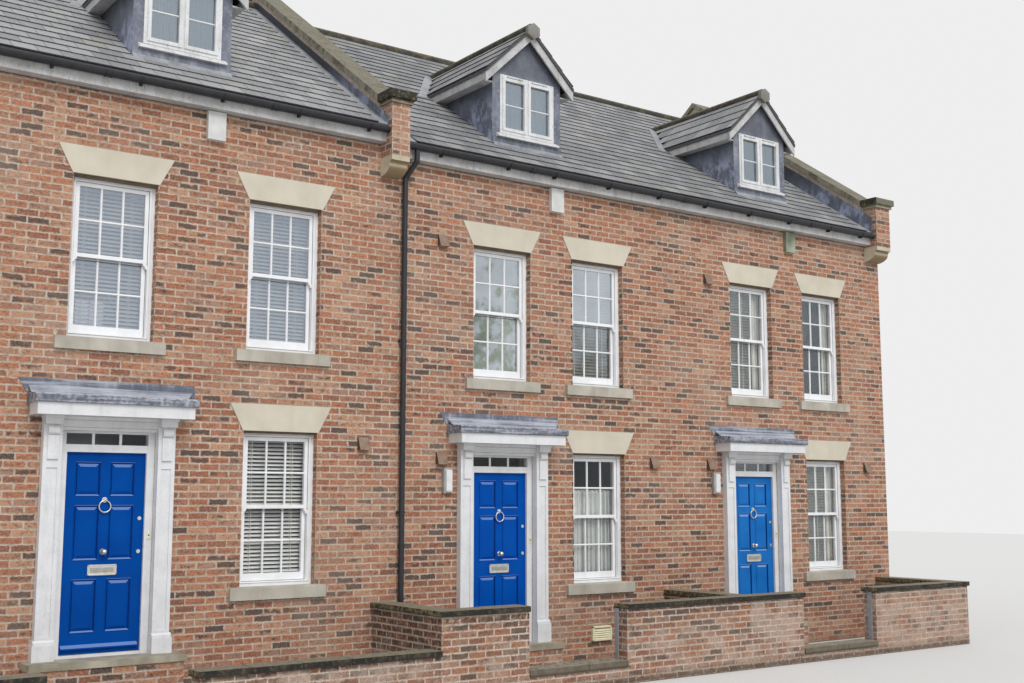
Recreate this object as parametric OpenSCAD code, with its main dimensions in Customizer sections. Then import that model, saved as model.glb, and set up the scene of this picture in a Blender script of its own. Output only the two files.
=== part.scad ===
// Row of three brick terraced houses with attic dormers, sash windows and panelled front doors.
// X runs along the street front, Y runs from the street into the houses, Z is up.

/* [Row] */
// Frontage of the middle house, party line to party line
house_w = 4650; // [4500:10:5000]
// Frontage of the wider left house
house_a_w = 5190; // [5000:10:5600]
// How far the right gable stands past the third frontage
gable_past = 97; // [60:1:200]
// Depth of the houses from front face to rear face
house_d = 7800; // [7200:50:9000]
// How much higher the left house stands
rise_a = 150; // [0:5:200]
// Thickness of the front and rear walls
wall_t = 300; // [280:5:350]
// Thickness of the party walls
party_t = 250; // [215:5:300]
// How far the wall between the first two houses stands left of their line
party_shift = 64; // [0:2:100]
// Thickness of the right gable wall
gable_t = 345; // [280:1:360]
// Seat left under copings, ridge tiles and lead on the slopes
seat = 0.3; // [0.2:0.1:0.5]

/* [Levels] */
// Height of the window and door heads above the lowest ground
head_z = 2780; // [2700:5:2900]
// Rise from one row of window heads to the next
storey_h = 2625; // [2500:25:2800]
// Top of the door steps of the lower houses
step_z = 370; // [340:5:420]
// Top of the door step of the left house
step_z_a = 590; // [550:5:600]
// Underside of the first floor
first_floor_z = 2840; // [2820:5:2900]
// Underside of the attic floor
attic_floor_z = 5610; // [5550:5:5700]
// Thickness of the timber floors
floor_t = 200; // [150:5:240]
// Thickness of the ground floor slab
slab_t = 150; // [100:5:200]

/* [Roof] */
// Pitch of the main roof in degrees
roof_pitch = 35; // [33:0.5:38]
// Height of the slate face above the front wall face
slate_z = 6670; // [6600:5:6750]
// Thickness of slates, battens and boards, square to the slope
roof_t = 60; // [50:1:90]
// Height of the slates' edge at the eaves
slate_edge = 25; // [20:1:35]
// How far the slates run out past the wall face
eaves_out = 185; // [170:5:200]
// Radius of the main ridge tiles
ridge_r = 85; // [75:1:100]
// How far the middle of the main ridge tiles lies under the top of the slates
ridge_sink = 10; // [0:1:20]
// Underside of the eaves board
fascia_z = 6340; // [6320:5:6380]
// Distance from the wall face to the front of the eaves board
fascia_out = 140; // [120:5:150]
// Thickness of the eaves board
fascia_t = 22; // [18:1:30]
// Outer radius of the half round gutter
gutter_r = 57; // [50:1:65]
// Wall thickness of the gutter
gutter_t = 4; // [3:0.5:6]
// Radius of the downpipe
pipe_r = 34; // [28:1:38]
// Centre of the downpipe from the party line
pipe_off = 130; // [110:1:160]
// Centre of the gutter outlet from the party line
outlet_off = 211; // [180:1:260]

/* [Parapets] */
// Height of the parapet brickwork above the wall face
parapet_z = 7025; // [6950:5:7100]
// Thickness of the coping stones, square to the slope
coping_t = 75; // [60:1:90]
// How far the coping stones overhang each side
coping_over = 50; // [30:1:70]
// How far the parapet end piers stand out from the wall face
pier_out = 270; // [240:5:300]
// Underside of the kneeler stones
kneeler_z = 6080; // [6000:5:6150]
// Height of the kneeler stones
kneeler_h = 225; // [210:5:260]
// Underside of the cap stones on the end piers
cap_z = 6960; // [6900:5:7000]
// Height of the cap stones
cap_h = 155; // [140:5:200]
// How far the cap stones overhang the end piers
cap_over = 60; // [40:1:70]
// How much of the lead stands under the coping's shadow
flashing_drop = 90; // [80:5:120]
// Width of the lead on the slates beside a parapet
flashing_w = 150; // [120:5:180]
// Thickness of the sheet lead
lead_t = 6; // [4:1:8]

/* [Windows] */
// Width of the window openings
window_w = 910; // [850:5:950]
// Height of the window openings
window_h = 1715; // [1650:5:1750]
// Centre of the right hand windows from the party line
window_off = 3260; // [3200:5:3320]
// Centre of the right hand windows of the left house from its party line
window_off_a = 3760; // [3700:5:3820]
// Centre of the left hand upper windows from the party line
upper_off = 1647; // [1600:1:1700]
// Centre of the left house's left hand upper window from its party line
upper_off_a = 1790; // [1750:1:1850]
// Distance from the wall face back to the window frame
reveal_d = 95; // [80:1:110]
// Depth of the window frames
frame_d = 110; // [100:1:130]
// Face width of the window frames
frame_w = 58; // [50:1:70]
// Height of the timber sill of the window frame
frame_sill_h = 50; // [40:1:60]
// Thickness of a sash
sash_t = 42; // [38:1:50]
// Face width of the sash stiles and top rails
sash_w = 46; // [40:1:55]
// Height of the meeting rails
meeting_h = 40; // [35:1:45]
// Height of the bottom rail of the lower sash
bottom_rail_h = 88; // [70:1:100]
// Thickness of the glass
glass_t = 6; // [4:1:8]

/* [Stonework] */
// Bottom width of the splayed lintels
lintel_w = 930; // [912:1:960]
// Top width of the splayed lintels
lintel_top_w = 1243; // [1200:1:1280]
// Height of the lintels
lintel_h = 300; // [290:1:305]
// How far the lintels stand out of the wall face
lintel_out = 12; // [10:1:20]
// How far the lintels reach into the wall
lintel_in = 95; // [80:1:100]
// Length of the stone sills
sill_w = 1160; // [1120:5:1200]
// Height of the stone sills
sill_h = 138; // [130:1:145]
// How far the stone sills stand out of the wall face
sill_out = 50; // [40:1:70]

/* [Doors] */
// Width of the door leaves
leaf_w = 838; // [810:1:850]
// Height of the door leaves
leaf_h = 2035; // [2000:5:2040]
// Thickness of the door leaves
leaf_t = 44; // [40:1:48]
// Distance from the top of the leaf up to the door head
leaf_drop = 270; // [260:1:290]
// Centre of the front doors from the party line
door_off = 1635; // [1600:1:1700]
// Centre of the left house's door from its party line
door_off_a = 1817; // [1750:1:1850]
// Clearance round the leaf on the hinge side, above and below
leaf_gap = 5; // [5:0.5:6]
// Clearance of the leaf on the lock side
lock_gap = 7.5; // [7:0.5:10]
// Width of the door frame posts
post_w = 70; // [60:1:80]
// Depth of the door frames
door_frame_d = 84; // [80:1:100]
// Distance from the wall face back to the door frame
door_reveal = 16; // [10:1:20]
// Height of the light above each door
transom_h = 115; // [100:1:130]
// Distance from the door head down to the light above each door
transom_drop = 84; // [75:1:95]
// Width of a door panel
panel_w = 252; // [230:2:260]
// Distance from the leaf's middle to the middle of its panels
panel_x = 178; // [170:1:185]
// Depth of the door panels
panel_d = 9; // [6:1:12]
// Height of the door knobs above the leaf's underside
knob_z = 1013; // [950:1:1080]
// Height of the knockers above the leaf's underside
knocker_z = 1542; // [1500:1:1600]
// Height of the letter plates above the leaf's underside
plate_z = 773; // [740:1:800]
// Radius of the hinge knuckles
knuckle_r = 7; // [6:0.5:8]

/* [Door surrounds] */
// Width of the pilasters
pilaster_w = 185; // [170:1:200]
// How far the pilasters stand out of the wall face
pilaster_out = 90; // [80:1:100]
// Height of the plinth blocks above the leaf's underside
plinth_h = 125; // [100:5:140]
// How far the plinth blocks stand beside the pilasters
plinth_over = 25; // [10:1:30]
// Height of the consoles
console_h = 351; // [300:1:380]
// How far the consoles stand out of the wall face
console_out = 140; // [130:1:150]
// Width of the consoles
console_w = 108; // [100:1:120]
// Width of the canopy board
canopy_w = 1614; // [1550:2:1660]
// How far the canopy stands out of the wall face
canopy_out = 300; // [280:5:340]
// Distance from the door head up to the underside of the canopy board
canopy_up = 79; // [60:1:100]
// Height of the canopy board
canopy_h = 120; // [90:1:130]
// Height of the lead on the wall above the canopies
canopy_lead_h = 148; // [120:1:170]
// Width of the stone door steps
step_w = 1490; // [1400:5:1600]
// Width of the left house's door step
step_w_a = 1570; // [1500:5:1650]
// Depth of the stone door steps
step_d = 340; // [320:5:400]
// Thickness of the stone door steps
step_t = 65; // [50:1:80]

/* [Dormers] */
// Distance from the wall face back to the dormer faces
dormer_y = 370; // [350:5:450]
// Width across the dormer cheeks
dormer_w = 1170; // [1120:5:1220]
// Thickness of the dormer cheeks and fronts
dormer_t = 80; // [60:1:100]
// Pitch of the dormer roofs in degrees
dormer_pitch = 44; // [42:0.5:46]
// Height of the dormer slates at their ridge
dormer_ridge_z = 8645; // [8600:5:8700]
// Width across the dormer eaves
dormer_eaves_w = 1500; // [1450:5:1550]
// Thickness of the dormer slates and boards, square to the slope
dormer_roof_t = 30; // [25:1:45]
// How far the dormer bargeboards stand in front of the dormer faces
barge_out = 90; // [70:5:120]
// Depth of the bargeboards, measured straight down
barge_h = 140; // [120:5:160]
// Underside of the dormer windows
dormer_window_z = 7100; // [7080:5:7150]
// Width of the dormer windows
dormer_window_w = 920; // [880:5:950]
// Height of the dormer windows
dormer_window_h = 825; // [780:5:830]
// Face width of the dormer window frames
dormer_frame_w = 50; // [45:1:60]
// Width of the post between a dormer's casements
mullion_w = 45; // [40:1:60]
// Face width of the casements
casement_w = 32; // [28:1:50]
// Height of the dormers' eaves boards
dormer_board_h = 100; // [80:5:120]
// Thickness of the dormers' eaves boards and soffits
dormer_board_t = 20; // [18:1:25]
// Radius of the dormers' ridge tiles
dormer_ridge_r = 65; // [60:1:80]
// Radius of the hexagonal stone blocks on the dormer ridges
block_r = 116; // [100:1:125]

/* [Garden walls] */
// Distance from the wall face to the front of the garden walls
garden_d = 1500; // [1400:10:1700]
// Thickness of the garden walls
garden_t = 215; // [200:5:240]
// Thickness of the garden copings
garden_coping_t = 62; // [50:1:80]
// How far the garden copings overhang
garden_over = 30; // [20:1:45]
// Top of the copings on the tall garden walls
garden_z = 925; // [900:5:1000]
// How much higher the coping left of the middle gateway lies
garden_step = 55; // [0:5:80]
// Top of the coping on the low wall right of the left gateway
low_z = 570; // [550:5:600]
// Top of the coping on the low wall left of the left gateway
low_left_z = 650; // [600:5:700]
// Distance from the left house's door centre to the left side of its gateway
gate_off_a = 967; // [900:1:1000]
// Distance from the middle house's door centre to the left side of its gateway
gate_off_b = 688; // [650:1:750]
// Distance from the right house's door centre to the left side of its gateway
gate_off_c = 738; // [700:1:800]
// Width of the left house's gateway
gate_w_a = 1430; // [1300:10:1500]
// Width of the middle house's gateway
gate_w_b = 1465; // [1400:5:1600]
// Width of the right house's gateway
gate_w_c = 1540; // [1400:10:1600]
// Top of the entrance slab of the left house
slab_z_a = 330; // [300:5:400]
// Top of the entrance slab of the middle house
slab_z_b = 265; // [220:5:300]
// Top of the entrance slab of the right house
slab_z_c = 185; // [150:5:220]
// How far the entrance slabs run from the front of the garden walls to the houses
slab_d = 275; // [230:5:300]

/* [Wall fittings] */
// Width of the brown vent cowls
cowl_w = 140; // [120:1:160]
// Height of the brown vent cowls
cowl_h = 150; // [130:1:170]
// How far the brown vent cowls stand out of the wall face
cowl_out = 75; // [60:1:90]
// Centre of the left hand vent cowls from the party line
cowl_off = 708; // [650:1:760]
// Centre of the right hand vent cowls from the party line
cowl_far_off = 4250; // [4200:1:4300]
// Centre of the left house's vent cowl from its party line
cowl_far_off_a = 4808; // [4750:1:4850]
// Distance from the door head down to the lower vent cowls
cowl_drop = 185; // [150:1:220]
// Distance from the upper window heads down to the upper vent cowls
cowl_up_drop = 85; // [60:1:120]
// Width of the alarm boxes
alarm_w = 210; // [190:1:230]
// Height of the alarm boxes
alarm_h = 322; // [300:1:340]
// How far the alarm boxes stand out of the wall face
alarm_out = 62; // [50:1:80]
// Centre of the alarm boxes from the party line
alarm_off = 2522; // [2480:1:2560]
// Centre of the left house's alarm box from its party line
alarm_off_a = 2865; // [2820:1:2900]
// Distance from the door head up to the alarm boxes
alarm_up = 3228; // [3180:1:3260]
// Width of the wall lights
light_w = 107; // [90:1:120]
// Height of the wall lights
light_h = 308; // [280:1:330]
// How far the wall lights stand out of the wall face
light_out = 79; // [70:1:100]
// Distance from the door centre to the right side of the wall lights
light_off = 800; // [780:1:830]
// Distance from the door head down to the wall lights
light_drop = 231; // [200:1:260]
// Width of the air vent under the middle house's window
air_vent_w = 330; // [300:1:350]
// Height of the air vent under the middle house's window
air_vent_h = 191; // [170:1:210]
// How far the air vent stands out of the wall face
air_vent_out = 40; // [30:1:60]
// Underside of the air vent
air_vent_z = 312; // [290:1:330]

/* [Hidden] */
cut = 1;
right_x = 2 * house_w + gable_past;
row_left = -house_a_w - party_t / 2;
ridge_y = house_d / 2;
slope = tan(roof_pitch);
roof_down = roof_t / cos(roof_pitch);
dormer_slope = tan(dormer_pitch);
dormer_down = dormer_roof_t / cos(dormer_pitch);
dormer_front = dormer_y - barge_out - 20;
// Outer face of the dormers' eaves boards, from the dormer's middle
dormer_board_x = dormer_eaves_w / 2 - 10;
brick_red = [0.68, 0.42, 0.32];
stone_cream = [0.83, 0.79, 0.70];
paint_white = [0.90, 0.90, 0.89];
slate_grey = [0.50, 0.50, 0.51];
lead_grey = [0.47, 0.49, 0.54];

// The three houses are numbered 0 to 2 from the left
houses = [0, 1, 2];
lines = [-house_a_w, 0, house_w, right_x];
function rise(h) = h == 0 ? rise_a : 0;
function party_x(n) = lines[n] - (n == 1 ? party_shift : 0);
function inner_left(h) = party_x(h) + party_t / 2;
function inner_right(h) = h < 2 ? party_x(h + 1) - party_t / 2 : right_x - gable_t;
function door_x(h) = lines[h] + (h == 0 ? door_off_a : door_off);
function upper_x(h) = lines[h] + (h == 0 ? upper_off_a : upper_off);
function window_x(h) = lines[h] + (h == 0 ? window_off_a : window_off);
function house_mid(h) = lines[h] + (h == 0 ? house_a_w : house_w) / 2;
function head(h) = head_z + rise(h);
function step_top(h) = h == 0 ? step_z_a : step_z;
function leaf_bottom(h) = head(h) - leaf_drop - leaf_h;
function slate_at(y) = slate_z + slope * min(y, house_d - y);
function slab_under(y) = slate_at(y) - roof_down;
function roof_under(y) = slab_under(y) - seat;
function parapet_at(y) = parapet_z + slope * min(y, house_d - y);

front_y = -garden_d - garden_over;
rear_y = house_d + pier_out + cap_over;
origin_x = (row_left + right_x + max(coping_over, cap_over)) / 2;
origin_y = (front_y + rear_y) / 2;

door_hole_w = leaf_w + leaf_gap + lock_gap + 2 * post_w;
surround_half = door_hole_w / 2 + pilaster_w;
leaf_left = -door_hole_w / 2 + post_w + leaf_gap;
leaf_front = door_reveal + door_frame_d - leaf_t;
hinge_y = door_reveal + door_frame_d + knuckle_r + 1;
hinge_x = leaf_left - leaf_gap / 2;
hinge_zs = [260, 1010, 1760];

module placed() {
    translate([-origin_x, -origin_y, 0]) children();
}

// Turns a Y-Z outline into a solid from x0 to x1
module along_x(x0, x1) {
    translate([x0, 0, 0]) rotate([90, 0, 90]) linear_extrude(x1 - x0) children();
}

// Turns an X-Z outline into a solid from y0 to y1
module along_y(y0, y1) {
    translate([0, y1, 0]) rotate([90, 0, 0]) linear_extrude(y1 - y0) children();
}

// A block given by two opposite corners
module block(low, high) {
    translate(low) cube(high - low);
}

// Repeats its children at the front and, turned about the roof's ridge line, at the rear
module front_and_rear() {
    children();
    translate([0, house_d, 0]) mirror([0, 1, 0]) children();
}

// Window positions of one house: x and the height of the opening's underside
function upper_windows(h) = [for (x = [upper_x(h), window_x(h)]) [x, head(h) + storey_h - window_h]];
function lower_windows(h) = [[window_x(h), head(h) - window_h]];
function all_windows(h) = concat(upper_windows(h), lower_windows(h));

module ground_floors() {
    color([0.60, 0.57, 0.53])
    for (h = houses) {
        top = leaf_bottom(h) - 10;
        block([inner_left(h), wall_t, top - slab_t], [inner_right(h), house_d - wall_t, top]);
        block([door_x(h) - door_hole_w / 2, door_reveal + door_frame_d, step_top(h)],
            [door_x(h) + door_hole_w / 2, wall_t, top]);
    }
}

module timber_floors(under) {
    for (h = houses) {
        z = under + rise(h);
        block([inner_left(h), wall_t, z], [inner_right(h), house_d - wall_t, z + floor_t]);
    }
}

module upper_floors() {
    color([0.70, 0.56, 0.40]) {
        timber_floors(first_floor_z);
        timber_floors(attic_floor_z);
    }
}

module front_wall_base() {
    color(brick_red)
    for (h = houses)
        block([inner_left(h), 0, 0], [inner_right(h), wall_t, step_top(h)]);
}

module window_hole(x, z) {
    block([x - window_w / 2, -cut, z], [x + window_w / 2, wall_t + cut, z + window_h]);
}

module sill_pocket(x, z) {
    block([x - sill_w / 2, -cut, z - sill_h], [x + sill_w / 2, reveal_d, z]);
}

module front_wall_ground() {
    color(brick_red)
    for (h = houses) {
        block([inner_left(h), 0, step_top(h)], [door_x(h) - door_hole_w / 2, wall_t, head(h)]);
        difference() {
            block([door_x(h) + door_hole_w / 2, 0, step_top(h)], [inner_right(h), wall_t, head(h)]);
            for (w = lower_windows(h)) {
                window_hole(w[0], w[1]);
                sill_pocket(w[0], w[1]);
            }
        }
    }
}

module lintel_outline(x, z) {
    polygon([[x - lintel_w / 2, z], [x + lintel_w / 2, z],
        [x + lintel_top_w / 2, z + lintel_h], [x - lintel_top_w / 2, z + lintel_h]]);
}

module upper_wall_outline(h) {
    polygon([[0, head(h)], [wall_t, head(h)], [wall_t, roof_under(wall_t) + rise(h)],
        [0, roof_under(0) + rise(h)]]);
}

module front_wall_upper() {
    color(brick_red)
    for (h = houses)
        difference() {
            along_x(inner_left(h), inner_right(h)) upper_wall_outline(h);
            for (w = upper_windows(h)) {
                window_hole(w[0], w[1]);
                sill_pocket(w[0], w[1]);
                along_y(-cut, lintel_in) lintel_outline(w[0], w[1] + window_h);
            }
            along_y(-cut, lintel_in) lintel_outline(window_x(h), head(h));
        }
}

module rear_wall() {
    color(brick_red)
    for (h = houses)
        translate([0, house_d, 0]) mirror([0, 1, 0])
        difference() {
            along_x(inner_left(h), inner_right(h))
                polygon([[0, 0], [wall_t, 0], [wall_t, roof_under(wall_t) + rise(h)],
                    [0, roof_under(0) + rise(h)]]);
            for (w = all_windows(h)) {
                window_hole(w[0], w[1]);
                sill_pocket(w[0], w[1]);
                along_y(-cut, lintel_in) lintel_outline(w[0], w[1] + window_h);
            }
            along_y(-cut, lintel_in) lintel_outline(door_x(h), head(h));
            block([door_x(h) - window_w / 2, -cut, step_top(h)],
                [door_x(h) + window_w / 2, wall_t + cut, head(h)]);
        }
}

// A gable shaped wall that stays under the slates
module gable_outline(lift) {
    polygon([[0, 0], [house_d, 0], [house_d, roof_under(0) + lift],
        [ridge_y, roof_under(ridge_y) + lift], [0, roof_under(0) + lift]]);
}

// A gable shaped wall that stands above the slates, with a pier over each eaves
module parapet_outline() {
    pier_top = kneeler_z + kneeler_h;
    front = [[0, 0], [0, pier_top], [-pier_out, pier_top], [-pier_out, cap_z], [0, cap_z],
        [0, parapet_at(0)]];
    rear = [for (i = [len(front) - 1:-1:0]) [house_d - front[i][0], front[i][1]]];
    polygon(concat(front, [[ridge_y, parapet_at(ridge_y)]], rear));
}

module party_walls() {
    color(brick_red) {
        along_x(row_left, inner_left(0)) gable_outline(rise_a);
        along_x(inner_right(0), inner_left(1)) parapet_outline();
        along_x(inner_right(1), inner_left(2)) gable_outline(0);
    }
}

module gable_wall() {
    color(brick_red)
    along_x(right_x - gable_t, right_x) parapet_outline();
}

// Parapets as [left face, right face]
parapets = [[inner_right(0), inner_left(1)], [right_x - gable_t, right_x]];

module parapet_copings() {
    low = seat;
    high = seat + coping_t / cos(roof_pitch);
    color(stone_cream)
    for (p = parapets)
        along_x(p[0] - coping_over, p[1] + coping_over)
            polygon([[0, parapet_at(0) + low], [ridge_y, parapet_at(ridge_y) + low],
                [house_d, parapet_at(house_d) + low], [house_d, parapet_at(house_d) + high],
                [ridge_y, parapet_at(ridge_y) + high], [0, parapet_at(0) + high]]);
}

// Moulded stone: a flat band above a hollow, above a flattened round
module kneeler_outline() {
    band = 60;
    hollow = 45;
    set_back = 8;
    top = kneeler_z + kneeler_h;
    round_h = kneeler_h - band - hollow;
    round_out = pier_out - set_back - hollow;
    translate([-pier_out, top - band]) square([pier_out, band]);
    difference() {
        translate([set_back - pier_out, top - band - hollow]) square([pier_out - set_back, hollow + cut]);
        translate([set_back - pier_out, top - band - hollow]) circle(hollow, $fn = 48);
    }
    intersection() {
        translate([0, kneeler_z + round_h]) scale([round_out / round_h, 1]) circle(round_h, $fn = 64);
        translate([-pier_out, kneeler_z]) square([pier_out, round_h + cut]);
    }
}

// Cap stone with a narrower lower band, from its left side to its right side
module cap_stone(x0, x1) {
    band = cap_h * 0.35;
    inset = cap_over * 0.5;
    along_x(x0 + inset, x1 - inset)
        polygon([[inset - pier_out - cap_over, cap_z], [-cut, cap_z], [-cut, cap_z + cap_h],
            [-pier_out - cap_over / 2, cap_z + cap_h], [inset - pier_out - cap_over, cap_z + band + cut]]);
    along_x(x0, x1)
        polygon([[-pier_out - cap_over, cap_z + band], [-cut, cap_z + band], [-cut, cap_z + cap_h],
            [12 - pier_out - cap_over, cap_z + cap_h], [-pier_out - cap_over, cap_z + cap_h - 12]]);
}

module kneelers() {
    color(stone_cream)
    front_and_rear()
    for (p = parapets) {
        along_x(p[0], p[1]) kneeler_outline();
        cap_stone(p[0] - cap_over, p[1] + cap_over);
    }
}

// Roof fields as [left, right, lift, dormer centres]
roof_fields = [[row_left, inner_right(0), rise_a, [house_mid(0)]],
    [inner_left(1), right_x - gable_t, 0, [house_mid(1), house_mid(2)]]];

module slope_outline(lift) {
    edge = lift - slate_edge;
    polygon([[-eaves_out, slate_at(-eaves_out) + lift], [-eaves_out, slate_at(-eaves_out) + edge],
        [-fascia_out, slate_at(-fascia_out) + edge], [-fascia_out, slab_under(-fascia_out) + lift],
        [ridge_y, slab_under(ridge_y) + lift], [ridge_y, slate_at(ridge_y) + lift]]);
}

module roof_front() {
    hole_half = dormer_w / 2 - dormer_t;
    color(slate_grey)
    for (f = roof_fields)
        difference() {
            along_x(f[0], f[1]) slope_outline(f[2]);
            for (x = f[3])
                block([x - hole_half, dormer_y + dormer_t, slate_z],
                    [x + hole_half, dormer_y + 1250, slate_at(ridge_y) + rise_a]);
        }
}

module roof_rear() {
    color(slate_grey)
    for (f = roof_fields)
        translate([0, house_d, 0]) mirror([0, 1, 0])
            along_x(f[0], f[1]) slope_outline(f[2]);
}

module below_slates(x0, x1, lift) {
    along_x(x0, x1)
        polygon([[-eaves_out, 0], [house_d + eaves_out, 0],
            [house_d + eaves_out, slate_at(-eaves_out) + lift],
            [ridge_y, slate_at(ridge_y) + lift], [-eaves_out, slate_at(-eaves_out) + lift]]);
}

module dormer_slates_outline() {
    half = dormer_eaves_w / 2;
    polygon([[-half, dormer_ridge_z - half * dormer_slope], [0, dormer_ridge_z],
        [half, dormer_ridge_z - half * dormer_slope],
        [half, dormer_ridge_z - half * dormer_slope - dormer_down], [0, dormer_ridge_z - dormer_down],
        [-half, dormer_ridge_z - half * dormer_slope - dormer_down]]);
}

module ridge_tiles() {
    wide = 2 * dormer_ridge_r;
    color([0.28, 0.27, 0.24]) {
        for (f = roof_fields)
            difference() {
                translate([f[0], ridge_y, slate_at(ridge_y) + f[2] - ridge_sink])
                    rotate([0, 90, 0]) cylinder(f[1] - f[0], r = ridge_r, $fn = 48);
                below_slates(f[0] - cut, f[1] + cut, f[2] + seat);
            }
        for (h = houses)
            difference() {
                translate([house_mid(h), dormer_front, dormer_ridge_z + rise(h)])
                    rotate([-90, 0, 0]) cylinder(ridge_y - dormer_y, r = dormer_ridge_r, $fn = 48);
                translate([house_mid(h), 0, rise(h) + seat])
                    along_y(0, ridge_y) polygon([[-wide, dormer_ridge_z - wide * dormer_slope],
                        [0, dormer_ridge_z], [wide, dormer_ridge_z - wide * dormer_slope]]);
                below_slates(house_mid(h) - wide, house_mid(h) + wide, rise(h) + seat);
            }
    }
}

// Top of what carries the dormer slates at a distance from the dormer's middle
function dormer_under(x) = dormer_ridge_z - dormer_down - seat - abs(x) * dormer_slope;

module dormer_section(half) {
    polygon([[-half, slate_z], [half, slate_z], [half, dormer_under(half)], [0, dormer_under(0)],
        [-half, dormer_under(half)]]);
}

module dormer_walls() {
    back = ridge_y;
    half = dormer_w / 2;
    color(lead_grey)
    for (h = houses)
        difference() {
            translate([house_mid(h), 0, rise(h)])
            difference() {
                along_y(dormer_y, back) dormer_section(half);
                block([dormer_t - half, dormer_y + dormer_t, 0], [half - dormer_t, back + cut, 2 * slate_z]);
                block([-dormer_window_w / 2, 0, dormer_window_z],
                    [dormer_window_w / 2, dormer_y + 2 * dormer_t, dormer_window_z + dormer_window_h]);
            }
            below_slates(house_mid(h) - half - cut, house_mid(h) + half + cut, rise(h));
        }
}

module dormer_roofs() {
    color(slate_grey)
    for (h = houses)
        difference() {
            translate([house_mid(h), 0, rise(h)])
                along_y(dormer_front, ridge_y) dormer_slates_outline();
            below_slates(house_mid(h) - dormer_eaves_w, house_mid(h) + dormer_eaves_w, rise(h));
        }
}

// Eaves board with its soffit, beside the left cheek of a dormer
module dormer_eaves_outline() {
    outer = dormer_board_x;
    inner = outer - dormer_board_t;
    low = dormer_under(dormer_eaves_w / 2) - dormer_board_h;
    polygon([[-outer, dormer_under(outer)], [-outer, low], [-dormer_w / 2, low],
        [-dormer_w / 2, low + dormer_board_t], [-inner, low + dormer_board_t], [-inner, dormer_under(inner)]]);
}

module dormer_bargeboards() {
    half = dormer_eaves_w / 2;
    board = 25;
    color([0.74, 0.74, 0.75])
    for (h = houses)
        translate([house_mid(h), 0, rise(h)]) {
            along_y(dormer_y - barge_out, dormer_y - barge_out + board)
                polygon([[-half, dormer_under(half)], [0, dormer_under(0)], [half, dormer_under(half)],
                    [half, dormer_under(half) - barge_h], [0, dormer_under(0) - barge_h],
                    [-half, dormer_under(half) - barge_h]]);
            difference() {
                along_y(dormer_y - barge_out + board, ridge_y) {
                    dormer_eaves_outline();
                    mirror([1, 0, 0]) dormer_eaves_outline();
                }
                below_slates(-dormer_eaves_w, dormer_eaves_w, seat);
                // The soffits end at the dormer's face, behind the overhang
                block([dormer_board_t - dormer_board_x, dormer_front, slate_z],
                    [dormer_board_x - dormer_board_t, dormer_y, dormer_ridge_z]);
            }
        }
}

// The two lights of a dormer window as [left, right] of the opening in the frame
dormer_light_w = (dormer_window_w - mullion_w) / 2 - dormer_frame_w;
dormer_lights = [[-mullion_w / 2 - dormer_light_w, -mullion_w / 2],
    [mullion_w / 2, mullion_w / 2 + dormer_light_w]];

module dormer_windows() {
    half = dormer_window_w / 2;
    proud = 8;
    lip = 10;
    low = dormer_frame_w;
    high = dormer_window_h - dormer_frame_w;
    casement_y = 40;
    sill_d = 60;
    color(paint_white)
    for (h = houses)
        translate([house_mid(h), dormer_y, dormer_window_z + rise(h)]) {
            difference() {
                block([-half, -proud, 0], [half, dormer_t, dormer_window_h]);
                for (light = dormer_lights)
                    block([light[0], -2 * proud, low], [light[1], dormer_t + cut, high]);
            }
            for (light = dormer_lights) {
                ring_frame(light[0], light[1], low, high, casement_w, casement_w, casement_w,
                    -proud, casement_y);
                ring_frame(light[0] - lip, light[1] + lip, low - lip, high + lip, casement_w + lip,
                    casement_w + lip, casement_w + lip, -2 * proud - 4, -proud);
            }
            along_x(-half - sill_d, half + sill_d)
                polygon([[0, 0], [-sill_d, -35], [-sill_d, -62], [0, -62]]);
        }
}

// Hexagonal stone block on the front end of each dormer ridge, a corner up
module dormer_ridge_blocks() {
    depth = 60;
    color(stone_cream)
    for (h = houses)
        translate([house_mid(h), dormer_front - seat, dormer_ridge_z + rise(h) - block_r / 2])
            rotate([90, 0, 0]) rotate([0, 0, 30]) cylinder(depth, r = block_r, $fn = 6);
}

module lintels() {
    color(stone_cream)
    front_and_rear()
    for (h = houses) {
        for (w = all_windows(h))
            along_y(-lintel_out, lintel_in) lintel_outline(w[0], w[1] + window_h);
    }
    color(stone_cream)
    for (h = houses)
        translate([0, house_d, 0]) mirror([0, 1, 0])
            along_y(-lintel_out, lintel_in) lintel_outline(door_x(h), head(h));
}

// Stone sill with a weathered top
module sill_outline() {
    polygon([[reveal_d, 0], [reveal_d, -sill_h], [-sill_out, -sill_h], [-sill_out, -12], [0, 0]]);
}

module sills() {
    color(stone_cream)
    front_and_rear()
    for (h = houses)
        for (w = all_windows(h))
            translate([0, 0, w[1]]) along_x(w[0] - sill_w / 2, w[0] + sill_w / 2) sill_outline();
}

// A rectangular ring in the X-Z plane, with its own width on each side
module ring_frame(x0, x1, z0, z1, side, top, bottom, y0, y1) {
    difference() {
        block([x0, y0, z0], [x1, y1, z1]);
        block([x0 + side, y0 - cut, z0 + bottom], [x1 - side, y1 + cut, z1 - top]);
    }
}

module window_frames() {
    half = window_w / 2;
    color(paint_white)
    front_and_rear()
    for (h = houses)
        for (w = all_windows(h))
            translate([w[0], 0, w[1]])
                ring_frame(-half, half, 0, window_h, frame_w, frame_w, frame_sill_h,
                    reveal_d, reveal_d + frame_d);
}

// Both sashes of one window, the upper one in front, meeting at half height
sash_half = window_w / 2 - frame_w;
sash_low = frame_sill_h;
sash_top = window_h - frame_w;
sash_mid = (sash_low + bottom_rail_h + sash_top - sash_w) / 2;
sash_front = reveal_d + 12;

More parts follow.
